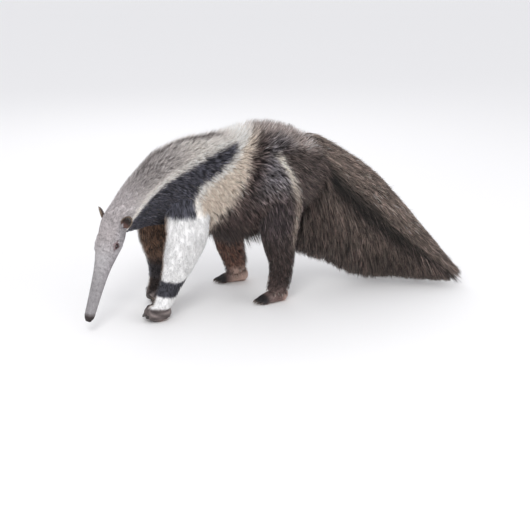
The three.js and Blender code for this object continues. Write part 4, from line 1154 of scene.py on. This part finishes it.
def tailUnder(name, settings):
    # strands in an arch from the core to the outline, some of which end early on their way
    chance = shuffle(settings["seed"])
    count, each = settings["bundles"], settings["each"]
    t = chance.uniform(0.0, 1.0, count) ** 0.95
    rootHigh = np.where(chance.random(count) < settings["low"], chance.uniform(-92, -10, count),
                        chance.uniform(-10, 92, count))
    side = chance.choice([1, -1], count)
    owner = np.repeat(np.arange(count), each)
    total = count * each
    rootT = np.clip(t[owner] + 0.012 * chance.normal(size=total), 0, 1)
    angle = onSide(side[owner], rootHigh[owner] + 7 * chance.normal(size=total))
    place = t * tail["last"] + tailFlow["lead"] + np.interp(rootHigh, tailFlow["root"], tailFlow["back"]) \
        + tailFlow["lean"] * t + 0.2 * chance.normal(size=count)
    place = place[owner] + 0.09 * chance.normal(size=total)
    tipHigh = np.interp(rootHigh, tailFlow["root"], tailFlow["tip"]) + 5 * chance.normal(size=count)
    tipAngle = onSide(side[owner], tipHigh[owner] + 2.6 * chance.normal(size=total))
    root = runSurface(tail, rootT, angle)
    outward = normalsOn(tail, rootT, angle)
    tip = runSurface(curtain, np.clip(place / curtain["last"], 0, 1), tipAngle,
                     grow=0.007 * chance.normal(size=total) + 0.002)
    tip[:, 2] -= 0.014 * smooth(20, 50, tipHigh)[owner] * smooth(3.2, 1.5, place)
    reach = np.linalg.norm(tip - root, axis=1)
    rise = tailFlow["rise"] + (tailFlow["topRise"] - tailFlow["rise"]) * smooth(0, 50, rootHigh)[owner]
    bend = mix(root, tip, np.full(total, tailFlow["at"])) + outward * (rise * reach)[:, None]
    bend[:, 2] = np.maximum(bend[:, 2], tip[:, 2])
    bend += 0.018 * reach[:, None] * chance.normal(size=(total, 3))
    short, most, whole = settings["ends"]
    share = np.where(chance.random(total) < settings["full"], chance.uniform(most, whole, total),
                     chance.uniform(short, most, total))[:, None]
    end = bentLine(root, bend, tip, share)
    bend = root * (1 - share) + bend * share
    end[:, 2] = np.maximum(end[:, 2], tailClear)
    base = tailMarks(place, tipAngle) * (0.62 + 0.38 * share)
    first, last = strandColours(base, chance, settings, owner)
    width = chance.uniform(*settings["width"], total) * mm
    return tuftMesh(name, [root - outward * 0.003, bend, end], outward, width, (first * 0.8, last),
                    unwrapped(rootT, angle), steps=3, ridge=0.35)


# On the tail's surface shorter hair lies over the long strands, along the tail above and hanging below:
# its slant in degrees by the elevation over the dark line of painted shadow, its length in millimetres by
# elevation, how deep and how far apart the strands of a bundle root, and how far out of the outline or short
# of it the tips end, below and above.
tailSurface = {
    "tailHairTop": {"elevations": (24, 90), "bundles": 4200, "each": 4, "seed": 24},
    "tailHairSide": {"elevations": (-90, 26), "bundles": 4700, "each": 4, "seed": 25},
}
tailLie = {"fall": ((-80, 84), (-30, 78), (-12, 66), (0, 34), (10, 16), (60, 4)),
           "length": ((-90, 66), (-30, 70), (20, 58), (90, 52)), "deep": 0.03, "radius": 0.007,
           "ragged": ((-0.03, 0.018), (-0.010, 0.003)), "width": (2.4, 3.8), "bunch": 0.5, "tips": 0.8,
           "grizzle": 0.5}


def tailPlaces(settings, chance):
    # t, side and elevation of places spread over the hanging hair's outline, clear of the trunk
    side = chance.choice([1, -1], settings["bundles"] * 5)
    high = chance.uniform(*settings["elevations"], len(side))
    t = chance.uniform(0.06, 0.97, len(side))
    order = pickByArea(curtain, t, onSide(side, high), settings["bundles"], chance)
    t, side, high = t[order], side[order], high[order]
    clear = placeOn(body, runSurface(curtain, t, onSide(side, high), grow=-tailLie["deep"]))[2] > 0.012
    return t[clear], side[clear], high[clear]


def tailOver(name, settings):
    # bundles rooted under the outline come up to it half way and end at it, a little ragged; the slant
    # follows the distance from the tail's painted shadow line, and the tips along that line are darkened as
    # painted shadow
    chance = shuffle(settings["seed"])
    t, side, rootHigh = tailPlaces(settings, chance)
    owner = np.repeat(np.arange(len(t)), settings["each"])
    count = len(owner)
    speed = runSpeed(curtain, t)[owner]
    sizes = runSection(curtain, t)[4]
    girth = np.hypot(sizes[:, 2] * np.sin(np.radians(rootHigh)),
                     sizes[:, 1] * np.cos(np.radians(rootHigh)))[owner]
    length = along(tailLie["length"], rootHigh)[owner] * mm * chance.uniform(*vary["length"], count) \
        * np.interp(t[owner], [0.8, 1], [1, 0.92])
    fromLine = rootHigh - along(tailShadeLine, t * curtain["last"])
    fall = np.radians(along(tailLie["fall"], fromLine) + 6 * chance.normal(size=len(t)))[owner] \
        + np.radians(6 * chance.normal(size=count))
    offT = tailLie["radius"] * chance.normal(size=count) / speed * 0.6
    offHigh = np.degrees(tailLie["radius"] * chance.normal(size=count) / girth) * 0.6
    stepT = length * np.cos(fall) / speed
    stepHigh = -np.degrees(length * np.sin(fall) / girth)
    below, above = tailLie["ragged"]
    ragged = np.where(rootHigh < -20, chance.uniform(*below, len(t)), chance.uniform(*above, len(t)))
    ragged = (ragged - 0.012 * smooth(30, 60, rootHigh) * smooth(0.2, 0.08, t))[owner]
    line = []
    depth = -tailLie["deep"] * chance.uniform(0.6, 1.1, count)
    for share, grow, spread in ((0, depth, 1.0), (0.5, -0.005 + 0 * depth, 0.8),
                                (1, ragged + 0.003 * chance.normal(size=count), 0.35)):
        high = np.clip(rootHigh[owner] + stepHigh * share + offHigh * spread, -96, 90)
        place = t[owner] + stepT * share + offT * spread
        inside = np.clip(place, 0, 1)
        point = runSurface(curtain, inside, onSide(side[owner], high), grow=grow)
        axis = runSection(curtain, inside)[1]
        line.append(point + (axis - np.array([0, 0, 0.7])) * ((place - inside) * speed)[:, None])
    line[2][:, 2] = np.maximum(line[2][:, 2], tailClear)
    outward = unit((line[1] - runSection(curtain, t)[0][owner]) * (1, 1, 0.25))
    seenAngle = onSide(side[owner], rootHigh[owner] + seen * stepHigh)
    base = tailMarks((t[owner] + seen * stepT) * curtain["last"], seenAngle)
    first, last = strandColours(base, chance, tailLie, owner)
    # tips near the tail's dark line are halved in brightness: painted shadow where the hair parts
    last = mix(last, last * 0.5, bell(fromLine, 9)[owner])
    width = chance.uniform(*tailLie["width"], count) * mm
    return tuftMesh(name, line, outward, width, (first * 0.85, last),
                    unwrapped(t[owner], onSide(side[owner], rootHigh[owner])))


# the legs' coats, with lengths and widths by the share of the way down the leg
legCoats = {
    "fore": {"bundles": 3000, "each": 2, "radius": 4, "length": ((0, 26), (0.4, 20), (0.75, 13), (1, 8)),
             "width": ((0, 1.9), (1, 1.2)), "bunch": 0.05, "tips": 0.05, "grizzle": 0.05},
    "hind": {"bundles": 3000, "each": 2, "radius": 5, "length": ((0, 44), (0.35, 34), (0.7, 19), (1, 9)),
             "width": ((0, 2.4), (1, 1.3)), "bunch": 0.36, "tips": 0.4, "grizzle": 0.25},
}


def legCoat(name, settings, seed):
    # the legs' hair lies down along them and a little back
    chance = shuffle(seed)
    leg = legs[name]
    t, angle = scatter(leg, settings["bundles"], (0.1, leg["last"]), chance)
    place = runSurface(leg, t, angle)
    keep = ~buried(place, [body, feet[name]]) & (place[:, 2] > 0.02)
    t, angle = t[keep], angle[keep]
    owner, offT, offAngle = bundles(leg, t, settings["each"], settings["radius"] * mm, chance)
    count = len(owner)
    rootT, rootAngle = np.clip(t[owner] + offT, 0, 1), angle[owner] + offAngle
    length = along(settings["length"], rootT) * mm * chance.uniform(*vary["length"], count)
    fall = np.radians(-14 + 9 * chance.normal(size=count))
    line = lineOn(leg, rootT, rootAngle, length, fall, 0.6, chance.uniform(0.45, 1.1, count))
    for part in line[1:]:
        part[:, 2] = np.maximum(part[:, 2], 0.006)
    outward = normalsOn(leg, rootT, rootAngle)
    base = legMarks(name, mix(line[0], line[2], np.full(count, 0.6))
                    + 0.0015 * chance.normal(size=(count, 3)))
    colours = strandColours(base, chance, settings, owner)
    width = along(settings["width"], rootT) * mm * chance.uniform(*vary["width"], count)
    line[0] = line[0] - outward * 0.0015
    return tuftMesh("legCoat_" + name, line, outward, width, colours, unwrapped(rootT, rootAngle))


coats = {name: bodyCoat(name, settings) for name, settings in bodyCoats.items()}
coats["tailHairUnder"] = tailUnder("tailHairUnder", tailStrands)
for name, settings in tailSurface.items():
    coats[name] = tailOver(name, settings)
for seed, name in enumerate(legShapes):
    coats["leg_" + name] = legCoat(name, legCoats[name[:4]], 31 + seed)


# Short hair on the feet and ears, and lashes over the eyes, with lengths and widths in millimetres. The
# ears' hair stands on the back, on the rim and inside, and longer is the share of its length there.
footHair = {"count": 2700, "length": (4.5, 8), "width": (0.55, 0.9), "spread": 16, "high": 0.8, "seed": 61}
earHair = {"counts": (1000, 320, 90), "longer": (1, 0.8, 1.7), "tones": ("earBack", "earRim", "earHair"),
           "length": (2.5, 5), "width": (0.35, 0.6), "seed": 71}
lashes = {"count": 30, "length": (2.2, 4.2), "width": 0.22, "seed": 81}


def footCoat(name, seed):
    # short hair on the foot's top and sides that lies toward the toes
    chance = shuffle(seed)
    foot = feet[name]
    t, angle = scatter(foot, footHair["count"], (0.3, foot["last"]), chance)
    count = len(t)
    length = chance.uniform(*footHair["length"], count) * mm
    fall = np.pi + np.radians(footHair["spread"]) * chance.normal(size=count)
    line = lineOn(foot, t, angle, length, fall, 0.45, footHair["high"] * chance.uniform(0.5, 1.2, count))
    outward = normalsOn(foot, t, angle)
    onward = footPlaces(name, line[0])[0]
    low = 0.014 if name.startswith("hind") else 0.034
    keep = (line[0][:, 2] > low) & (outward[:, 2] > -0.35) & ~buried(line[0], [legs[name]], 0.001)
    if name.startswith("hind"):
        keep &= (onward < 0.078) | (line[0][:, 2] > 0.034)
    line[0] = line[0] - outward * 0.0006
    colours = strandColours(legMarks(name, line[2]), chance, legCoats[name[:4]])
    width = chance.uniform(*footHair["width"], count) * mm
    return tuftMesh("footCoat_" + name, line, outward, width, colours, unwrapped(t, angle), steps=1,
                    keep=keep)


def earPoint(side, reach, turn, inside):
    # the ear's surface by the share of the way to its rim and the turn round it, and the way out of it
    middle, across, tip, face = earFrame(side)
    x, y = earOutline(reach, turn)
    deep = earShape["deep"] - np.where(inside, earShape["wall"], 0)
    z = -deep * np.sqrt(np.clip(1 - reach ** 2, 0, 1))
    point = middle + x[:, None] * across + y[:, None] * tip + z[:, None] * face
    out = unit((x / earShape["wide"] ** 2)[:, None] * across + (y / earShape["tall"] ** 2)[:, None] * tip
               + (z / deep ** 2)[:, None] * face)
    return point, out * np.where(inside, -1, 1)[:, None]


def bothSides(oneSide, chance):
    # the tufts of the left and then the right: root, bend, tip, way out, two tones and bake place
    return [np.vstack(parts) for parts in zip(*(oneSide(side, chance) for side in (1, -1)))]


def earTufts(side, chance):
    # hair on the ear's back points to its tip, hair on the rim past it, and a few long hairs stand inside
    across, tip, face = earFrame(side)[1:]
    kinds = np.repeat([0, 1, 2], earHair["counts"])
    count = len(kinds)
    reach = np.where(kinds == 0, np.sqrt(chance.random(count)), np.where(kinds == 1, 0.985, 0.78))
    turn = np.where(kinds == 2, chance.uniform(0.4, 3.6, count), chance.uniform(-0.9, np.pi + 0.9, count))
    root, out = earPoint(side, reach, turn, kinds == 2)
    away = unit(np.cos(turn)[:, None] * across + np.sin(turn)[:, None] * tip)
    lies = np.stack([unit(tip + 0.5 * away), unit(away + 0.5 * tip),
                     unit(face * 0.6 - away * 0.5 + tip * 0.4)])
    lie = unit(lies[kinds, np.arange(count)] + 0.2 * chance.normal(size=(count, 3)))
    length = chance.uniform(*earHair["length"], count) * mm * np.array(earHair["longer"])[kinds]
    tone = np.array([tones[name] for name in earHair["tones"]])[kinds]
    tone = np.clip(tone * (1 + 0.16 * chance.normal(size=(count, 1))), 0, 1)
    return (root - out * 0.0004, root + lie * (length * 0.5)[:, None] + out * 0.0004,
            root + lie * length[:, None] + out * (0.0007 * (kinds < 2))[:, None], out,
            tone * 0.7, tone * 1.05, unwrapped(reach * 0.4 + 0.5 * (side < 0), turn))


def earCoat():
    # both ears' hair in one piece
    chance = shuffle(earHair["seed"])
    root, bend, tip, out, first, last, patch = bothSides(earTufts, chance)
    width = chance.uniform(*earHair["width"], len(root)) * mm
    return tuftMesh("earCoat", [root, bend, tip], out, width, (first, last), patch, ridge=0.5)


def lashTufts(side, chance):
    # lashes stand along the upper lid's edge and bend outward and up
    long, tall = eyeShape["opening"]
    centre, ahead, over, out = eyeFrame(body, side)
    turn = chance.uniform(0.25, np.pi - 0.35, lashes["count"])
    root = centre + (long * 1.08 * np.cos(turn))[:, None] * ahead \
        + (tall * 1.25 * np.sin(turn))[:, None] * over + out * (eyeShape["lids"][2] * 0.80)
    away = unit(np.cos(turn)[:, None] * ahead + np.sin(turn)[:, None] * over)
    length = chance.uniform(*lashes["length"], lashes["count"])[:, None] * mm
    way = unit(out * 0.8 + away * 0.6 + 0.12 * chance.normal(size=root.shape))
    dark = np.repeat(tones["lash"][None], len(root), axis=0)
    return (root - out * 0.001, root + way * length * 0.5, root + (way + 0.35 * over) * length,
            np.repeat(over[None], len(root), axis=0), dark, dark * 1.3,
            unwrapped(turn / np.pi * 0.4 + 0.5 * (side < 0), turn))


def makeLashes():
    # both eyes' lashes in one piece
    root, bend, tip, out, first, last, patch = bothSides(lashTufts, shuffle(lashes["seed"]))
    width = np.full(len(root), lashes["width"] * mm)
    return tuftMesh("lashes", [root, bend, tip], out, width, (first, last), patch, ridge=1.0)


small = {"footCoat_" + name: footCoat(name, footHair["seed"] + k) for k, name in enumerate(legShapes)}
small["earCoat"] = earCoat()
small["lashes"] = makeLashes()
coats.update(small)

# An eye is dark and wet, its iris brown round a black pupil: angles from the eye's middle in degrees.
eyeLook = {"rings": 44, "around": 64, "bulge": 0.0007, "pupil": 21, "iris": 44, "streaks": 46}


def makeEye(side, name):
    # a sphere whose front bulges a little over the iris, coloured by the angle from its middle
    centre, ahead, over, out = eyeFrame(body, side)
    lean = np.linspace(0, np.pi, eyeLook["rings"])[:, None]
    turn = evenTurn(eyeLook["around"])[None]
    radius = eyeShape["radius"] + eyeLook["bulge"] * bell(np.degrees(lean), 34)
    points, faces = closedGrid(centre + (radius * np.cos(lean) + 0 * turn)[..., None] * out
                               + (radius * np.sin(lean) * np.cos(turn))[..., None] * ahead
                               + (radius * np.sin(lean) * np.sin(turn))[..., None] * over)
    item = meshObject("wet_" + name, points, faces)
    rel = unit(points - centre)
    off = np.degrees(np.arccos(np.clip(rel @ out, -1, 1)))
    spoke = np.arctan2(rel @ over, rel @ ahead)
    streak = 0.5 + 0.5 * np.sin(eyeLook["streaks"] * spoke + 2 * np.sin(7 * spoke))
    colour = mix(tones["irisDeep"], tones["iris"], 0.6 * streak)
    colour = mix(colour, tones["irisEdge"], smooth(eyeLook["iris"] - 10, eyeLook["iris"], off))
    colour = mix(colour, tones["eyeball"], smooth(eyeLook["iris"] + 2, eyeLook["iris"] + 14, off))
    colour = mix(colour, tones["pupil"], smooth(eyeLook["pupil"] + 3, eyeLook["pupil"] - 2, off))
    setColours(item, colour)
    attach(item, "root")
    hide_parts(name)
    return item


eyes = [makeEye(side, "eye_" + name) for name, side in (("left", 1), ("right", -1))]

# Claws in millimetres: how far each is sunk, how far it bends and reaches. The hind claws point ahead and
# down and the fore claws curl inward round the fist; each of these has its radius, its root across the
# fist, its length and its height.
clawShape = {
    "hind": {"radius": 3.6, "sunk": 6, "bend": 5, "reach": 13, "splay": 0.04, "tip": 3.5},
    "fore": {"sunk": 6, "bow": 6, "bent": 0.4, "drop": 14},
    "foreEach": [(6, 17, 30, 24), (8, 2, 40, 27), (5, -15, 22, 20)],
    "belly": 0.9, "flat": 0.8, "rings": 46, "around": 30,
}


def clawLine(name, k):
    # root, bend, tip and radius of a claw
    if name.startswith("hind"):
        shape = clawShape["hind"]
        (distance, across, high), (half, _, _) = feetShape["hindToes"][k]
        end = distance - half
        return (inFoot(name, end + shape["sunk"], across, high + 1),
                inFoot(name, end - shape["bend"], across * (1 + shape["splay"]), high + 2),
                inFoot(name, end - shape["reach"], across * (1 + 2 * shape["splay"]), shape["tip"]),
                shape["radius"])
    shape = clawShape["fore"]
    radius, place, length, high = clawShape["foreEach"][k]
    inner = -1 if name.endswith("left") else 1
    start = -inner * place
    return (inFoot(name, shape["sunk"], start, high),
            inFoot(name, -shape["bow"], start + inner * shape["bent"] * length, high - shape["drop"] / 2),
            inFoot(name, shape["bow"] + length / 4, start + inner * length, high - shape["drop"]), radius)


def makeClaw(name, k):
    # a horn along a bent line: its radius follows (1 + belly t) (1 - t)^0.85, flatter sideways, with a
    # groove beneath, a low keel on top and faint rings of growth
    root, bend, tip, radius = clawLine(name, k)
    t = 1 - (1 - np.linspace(0, 0.995, clawShape["rings"])) ** 1.25
    turn = evenTurn(clawShape["around"])
    axis = bentWay(root, bend, tip, t[:, None])
    side = unit(np.cross(np.array([0, 0, 1.0]), axis))
    over = np.cross(axis, side)
    fill = radius * mm * (1 + clawShape["belly"] * t) * (1 - t) ** 0.85 * (1 + 0.012 * np.sin(t * 60))
    form = 1 - 0.16 * bell(wrapped(turn + np.pi / 2), 0.4) + 0.05 * bell(wrapped(turn - np.pi / 2), 0.35) \
        + 0.008 * np.sin(13 * turn)
    grid = bentLine(root, bend, tip, t[:, None])[:, None] \
        + (fill[:, None] * np.cos(turn) * clawShape["flat"] * form)[..., None] * side[:, None] \
        + (fill[:, None] * np.sin(turn) * form)[..., None] * over[:, None]
    ends = [np.repeat(end[None, None], len(turn), axis=1) for end in (root, tip)]
    points, faces = closedGrid(np.concatenate([ends[0], grid, ends[1]]))
    points[:, 2] = np.maximum(points[:, 2], 0.0004)
    item = meshObject("horn_%s_%d" % (name, k + 1), points, faces)
    share = np.append(np.repeat(t, len(turn)), [0.0, 1.0])
    lines = np.append(np.tile(np.sin(9 * turn) * np.sin(4 * turn + 1), len(t)), [0, 0])
    colour = mix(tones["claw"], tones["clawTip"], smooth(0.25, 1.0, share))
    colour = np.clip(colour * (1 + 0.12 * lines[:, None] + 0.05 * np.sin(share * 60)[:, None]), 0, 1)
    setColours(item, colour)
    spots = np.column_stack([share, np.append(np.tile(turn / (2 * np.pi), len(t)), [0.5, 0.5])])
    corners = spots[faces.ravel()].reshape(-1, 3, 2)
    corners[..., 1] += (np.ptp(corners[..., 1], axis=1, keepdims=True) > 0.5) * (corners[..., 1] < 0.5)
    setCorners(item, "grain", corners)
    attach(item, "root")
    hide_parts("claw_%s_%d" % (name, k + 1))
    return item


claws = [makeClaw(name, k) for name in legShapes for k in range(5 if name.startswith("hind") else 3)]
print("eyes", len(eyes), "and claws", len(claws), "ready")


# Node groups shared by the materials: each gives colour, roughness and, but for the strands, a normal.
socketKinds = {"Lie": "Vector", "Strand": "Vector", "Grain": "Vector", "Normal": "Vector", "Colour": "Color",
               "Bare": "Float", "Dryness": "Float"}


def nodeGroup(name, inputs, outputs):
    # a node group with these sockets, and its two ends
    group = bpy.data.node_groups.new(name, "ShaderNodeTree")
    for labels, way in ((inputs, "INPUT"), (outputs, "OUTPUT")):
        for label in labels:
            group.interface.new_socket(label, in_out=way, socket_type="NodeSocket" + socketKinds[label])
    return group, group.nodes.new("NodeGroupInput").outputs, group.nodes.new("NodeGroupOutput").inputs


def addNode(tree, kind, settings=None, numbered=None, **inputs):
    # a node with its settings and the values of its inputs, by number or by name; a socket as a value
    # becomes a link
    node = tree.nodes.new(kind)
    for label, value in (settings or {}).items():
        setattr(node, label, value)
    named = {label.replace("_", " "): value for label, value in inputs.items()}
    for label, value in [*(numbered or {}).items(), *named.items()]:
        if isinstance(value, bpy.types.NodeSocket):
            tree.links.new(value, node.inputs[label])
        else:
            node.inputs[label].default_value = value
    return node


def noise(tree, vector, stretch, detail, rough=0.5, bend=0.0):
    # noise along a vector that is stretched on each of its axes
    mapped = addNode(tree, "ShaderNodeMapping", Vector=vector, Scale=stretch).outputs["Vector"]
    return addNode(tree, "ShaderNodeTexNoise", Vector=mapped, Scale=1.0, Detail=detail, Roughness=rough,
                   Distortion=bend).outputs[0]


def ranged(tree, value, **ends):
    # a value brought from one range to another
    return addNode(tree, "ShaderNodeMapRange", Value=value, **ends).outputs[0]


def tinted(tree, base, amount, low, high):
    # a colour multiplied by a grey that runs from low to high as the amount runs from 0 to 1
    level = ranged(tree, amount, To_Min=low, To_Max=high)
    grey = addNode(tree, "ShaderNodeCombineColor", Red=level, Green=level, Blue=level).outputs[0]
    return addNode(tree, "ShaderNodeMix", {"data_type": "RGBA", "blend_type": "MULTIPLY"},
                   {0: 1.0, 6: base, 7: grey}).outputs[2]


def bumped(tree, height, strength, distance):
    # a normal from a height
    return addNode(tree, "ShaderNodeBump", Height=height, Strength=strength, Distance=distance).outputs[0]


def furGroup():
    # fine hairs that follow the lie of the coat, in colour and height; where the skin is bare, a net of
    # small wrinkles and pores takes their place
    group, given, made = nodeGroup("flatFur", ["Lie", "Colour", "Bare"], ["Colour", "Normal", "Dryness"])
    lie, bare = given["Lie"], given["Bare"]
    hairs = noise(group, lie, (230, 1500, 1500), 3.0, 0.6, 0.4)
    tufts = noise(group, lie, (70, 260, 260), 2.0)
    pores = noise(group, lie, (1400, 1400, 1400), 2.0)
    net = addNode(group, "ShaderNodeMapping", Vector=lie, Scale=(850, 620, 620)).outputs["Vector"]
    cells = addNode(group, "ShaderNodeTexVoronoi", {"feature": "DISTANCE_TO_EDGE"}, Vector=net, Scale=1.0,
                    Randomness=1.0).outputs["Distance"]
    skinHeight = addNode(group, "ShaderNodeMath", {"operation": "MULTIPLY_ADD"},
                         {0: pores, 1: 0.3, 2: ranged(group, cells, From_Max=0.12)}).outputs[0]
    height = addNode(group, "ShaderNodeMix", {"data_type": "FLOAT"},
                     {0: bare, 2: hairs, 3: skinHeight}).outputs[0]
    colour = tinted(group, given["Colour"], tufts, 0.72, 1.24)
    group.links.new(tinted(group, colour, height, 0.74, 1.2), made["Colour"])
    group.links.new(bumped(group, height, 0.55, 0.0007), made["Normal"])
    group.links.new(ranged(group, bare, To_Min=0.68, To_Max=0.42), made["Dryness"])
    return group


def strandGroup():
    # a hair darkens and pales in soft bands along its length and has a fine grain along it
    group, given, made = nodeGroup("strands", ["Strand", "Colour"], ["Colour", "Dryness"])
    bands = noise(group, given["Strand"], (2.4, 0.6, 1), 2.0)
    grain = noise(group, given["Strand"], (5, 9, 1), 3.0, 0.7)
    colour = tinted(group, given["Colour"], bands, 0.25, 1.75)
    group.links.new(tinted(group, colour, grain, 0.55, 1.45), made["Colour"])
    group.links.new(ranged(group, grain, To_Min=0.38, To_Max=0.62), made["Dryness"])
    return group


def hornGroup():
    # long streaks and shallow scratches along the horn
    group, given, made = nodeGroup("horn", ["Grain", "Colour"], ["Colour", "Normal", "Dryness"])
    streaks = noise(group, given["Grain"], (3, 42, 1), 3.0, 0.6)
    rings = noise(group, given["Grain"], (34, 3, 1), 2.0)
    both = addNode(group, "ShaderNodeMath", {"operation": "MULTIPLY"}, {0: streaks, 1: rings}).outputs[0]
    group.links.new(tinted(group, given["Colour"], streaks, 0.6, 1.4), made["Colour"])
    group.links.new(bumped(group, both, 0.5, 0.0004), made["Normal"])
    group.links.new(ranged(group, rings, To_Min=0.28, To_Max=0.55), made["Dryness"])
    return group


def makeMaterial(name, values, group=None, **sources):
    # a material whose colour attribute runs through the group into the shader; each source is the kind
    # and the name of what feeds a socket of the group
    material = bpy.data.materials.new(name)
    material.use_nodes = True
    tree = material.node_tree
    shader = tree.nodes["Principled BSDF"]
    for label, value in values.items():
        shader.inputs[label].default_value = value
    colour = addNode(tree, "ShaderNodeAttribute", {"attribute_name": "markings"}).outputs["Color"]
    if group is None:
        tree.links.new(colour, shader.inputs["Base Color"])
        return material
    effect = addNode(tree, "ShaderNodeGroup", {"node_tree": group}, Colour=colour)
    for label, (kind, source) in sources.items():
        if kind == "UV":
            node = addNode(tree, "ShaderNodeUVMap", {"uv_map": source})
        else:
            node = addNode(tree, "ShaderNodeAttribute", {"attribute_name": source})
        tree.links.new(node.outputs[kind], effect.inputs[label])
    for made, wanted in (("Colour", "Base Color"), ("Normal", "Normal"), ("Dryness", "Roughness")):
        if made in effect.outputs:
            tree.links.new(effect.outputs[made], shader.inputs[wanted])
    return material


shortCoat = makeMaterial("shortCoat", {"Specular IOR Level": 0.32}, furGroup(), Lie=("Vector", "lie"),
                         Bare=("Fac", "bare"))
longCoat = makeMaterial("longCoat", {"Specular IOR Level": 0.38}, strandGroup(), Strand=("UV", "strand"))
horn = makeMaterial("horn", {"Specular IOR Level": 0.5}, hornGroup(), Grain=("UV", "grain"))
wetEye = makeMaterial("wetEye", {"Roughness": 0.12, "Specular IOR Level": 0.6, "Coat Weight": 1.0,
                                 "Coat Roughness": 0.02})
for items, material in (([skin], shortCoat), (coats.values(), longCoat), (claws, horn), (eyes, wetEye)):
    for item in items:
        item.data.materials.append(material)
print("materials ready")

# camera at the photo's angle and framing
look = {"turn": -26, "height": 18.5, "distance": 4.0, "target": (0.3321, 0.2525, 0), "lens": 74.1}
turn, height = math.radians(look["turn"]), math.radians(look["height"])
toward = np.array([math.sin(turn) * math.cos(height), -math.cos(turn) * math.cos(height), math.sin(height)])
target = np.array(look["target"]) + origin
camera = bpy.data.objects.new("camera", bpy.data.cameras.new("camera"))
camera.data.lens = look["lens"]
camera.data.sensor_width = 36
camera.location = target + toward * look["distance"]
camera.rotation_euler = Vector(toward).to_track_quat("Z", "Y").to_euler()
bpy.context.scene.collection.objects.link(camera)
bpy.context.scene.camera = camera

# a pale floor, a pale room light and soft lamps
floorMaterial = bpy.data.materials.new("floor")
floorMaterial.use_nodes = True
floorShader = floorMaterial.node_tree.nodes["Principled BSDF"]
floorShader.inputs["Base Color"].default_value = (0.90, 0.89, 0.88, 1)
floorShader.inputs["Roughness"].default_value = 0.8
corners = np.array([[-1, -1, 0], [1, -1, 0], [1, 1, 0], [-1, 1, 0]])
floor = meshObject("floor", corners * 30.0, np.array([[0, 1, 2, 3]]))
floor.data.materials.append(floorMaterial)
world = bpy.data.worlds.new("room")
bpy.context.scene.world = world
world.use_nodes = True
background = world.node_tree.nodes["Background"]
background.inputs["Color"].default_value = (0.95, 0.96, 1.0, 1)
background.inputs["Strength"].default_value = 0.93
bpy.context.scene.view_settings.view_transform = "Standard"  # keeps the coat's own contrast
# each lamp's place, size in metres and power in watts; all point at the animal's middle
lamps = [("key", (-1.7, -2.4, 2.7), 1.2, 46), ("fill", (2.4, -2.4, 1.8), 2.0, 16),
         ("rim", (0.6, 2.6, 2.4), 1.8, 16)]
middle = Vector((0, 0, 0.35))
for name, place, size, power in lamps:
    lamp = bpy.data.objects.new(name, bpy.data.lights.new(name, "AREA"))
    lamp.data.size = size
    lamp.data.energy = power
    lamp.location = place
    lamp.rotation_euler = (Vector(place) - middle).to_track_quat("Z", "Y").to_euler()
    bpy.context.scene.collection.objects.link(lamp)

print("scene ready")
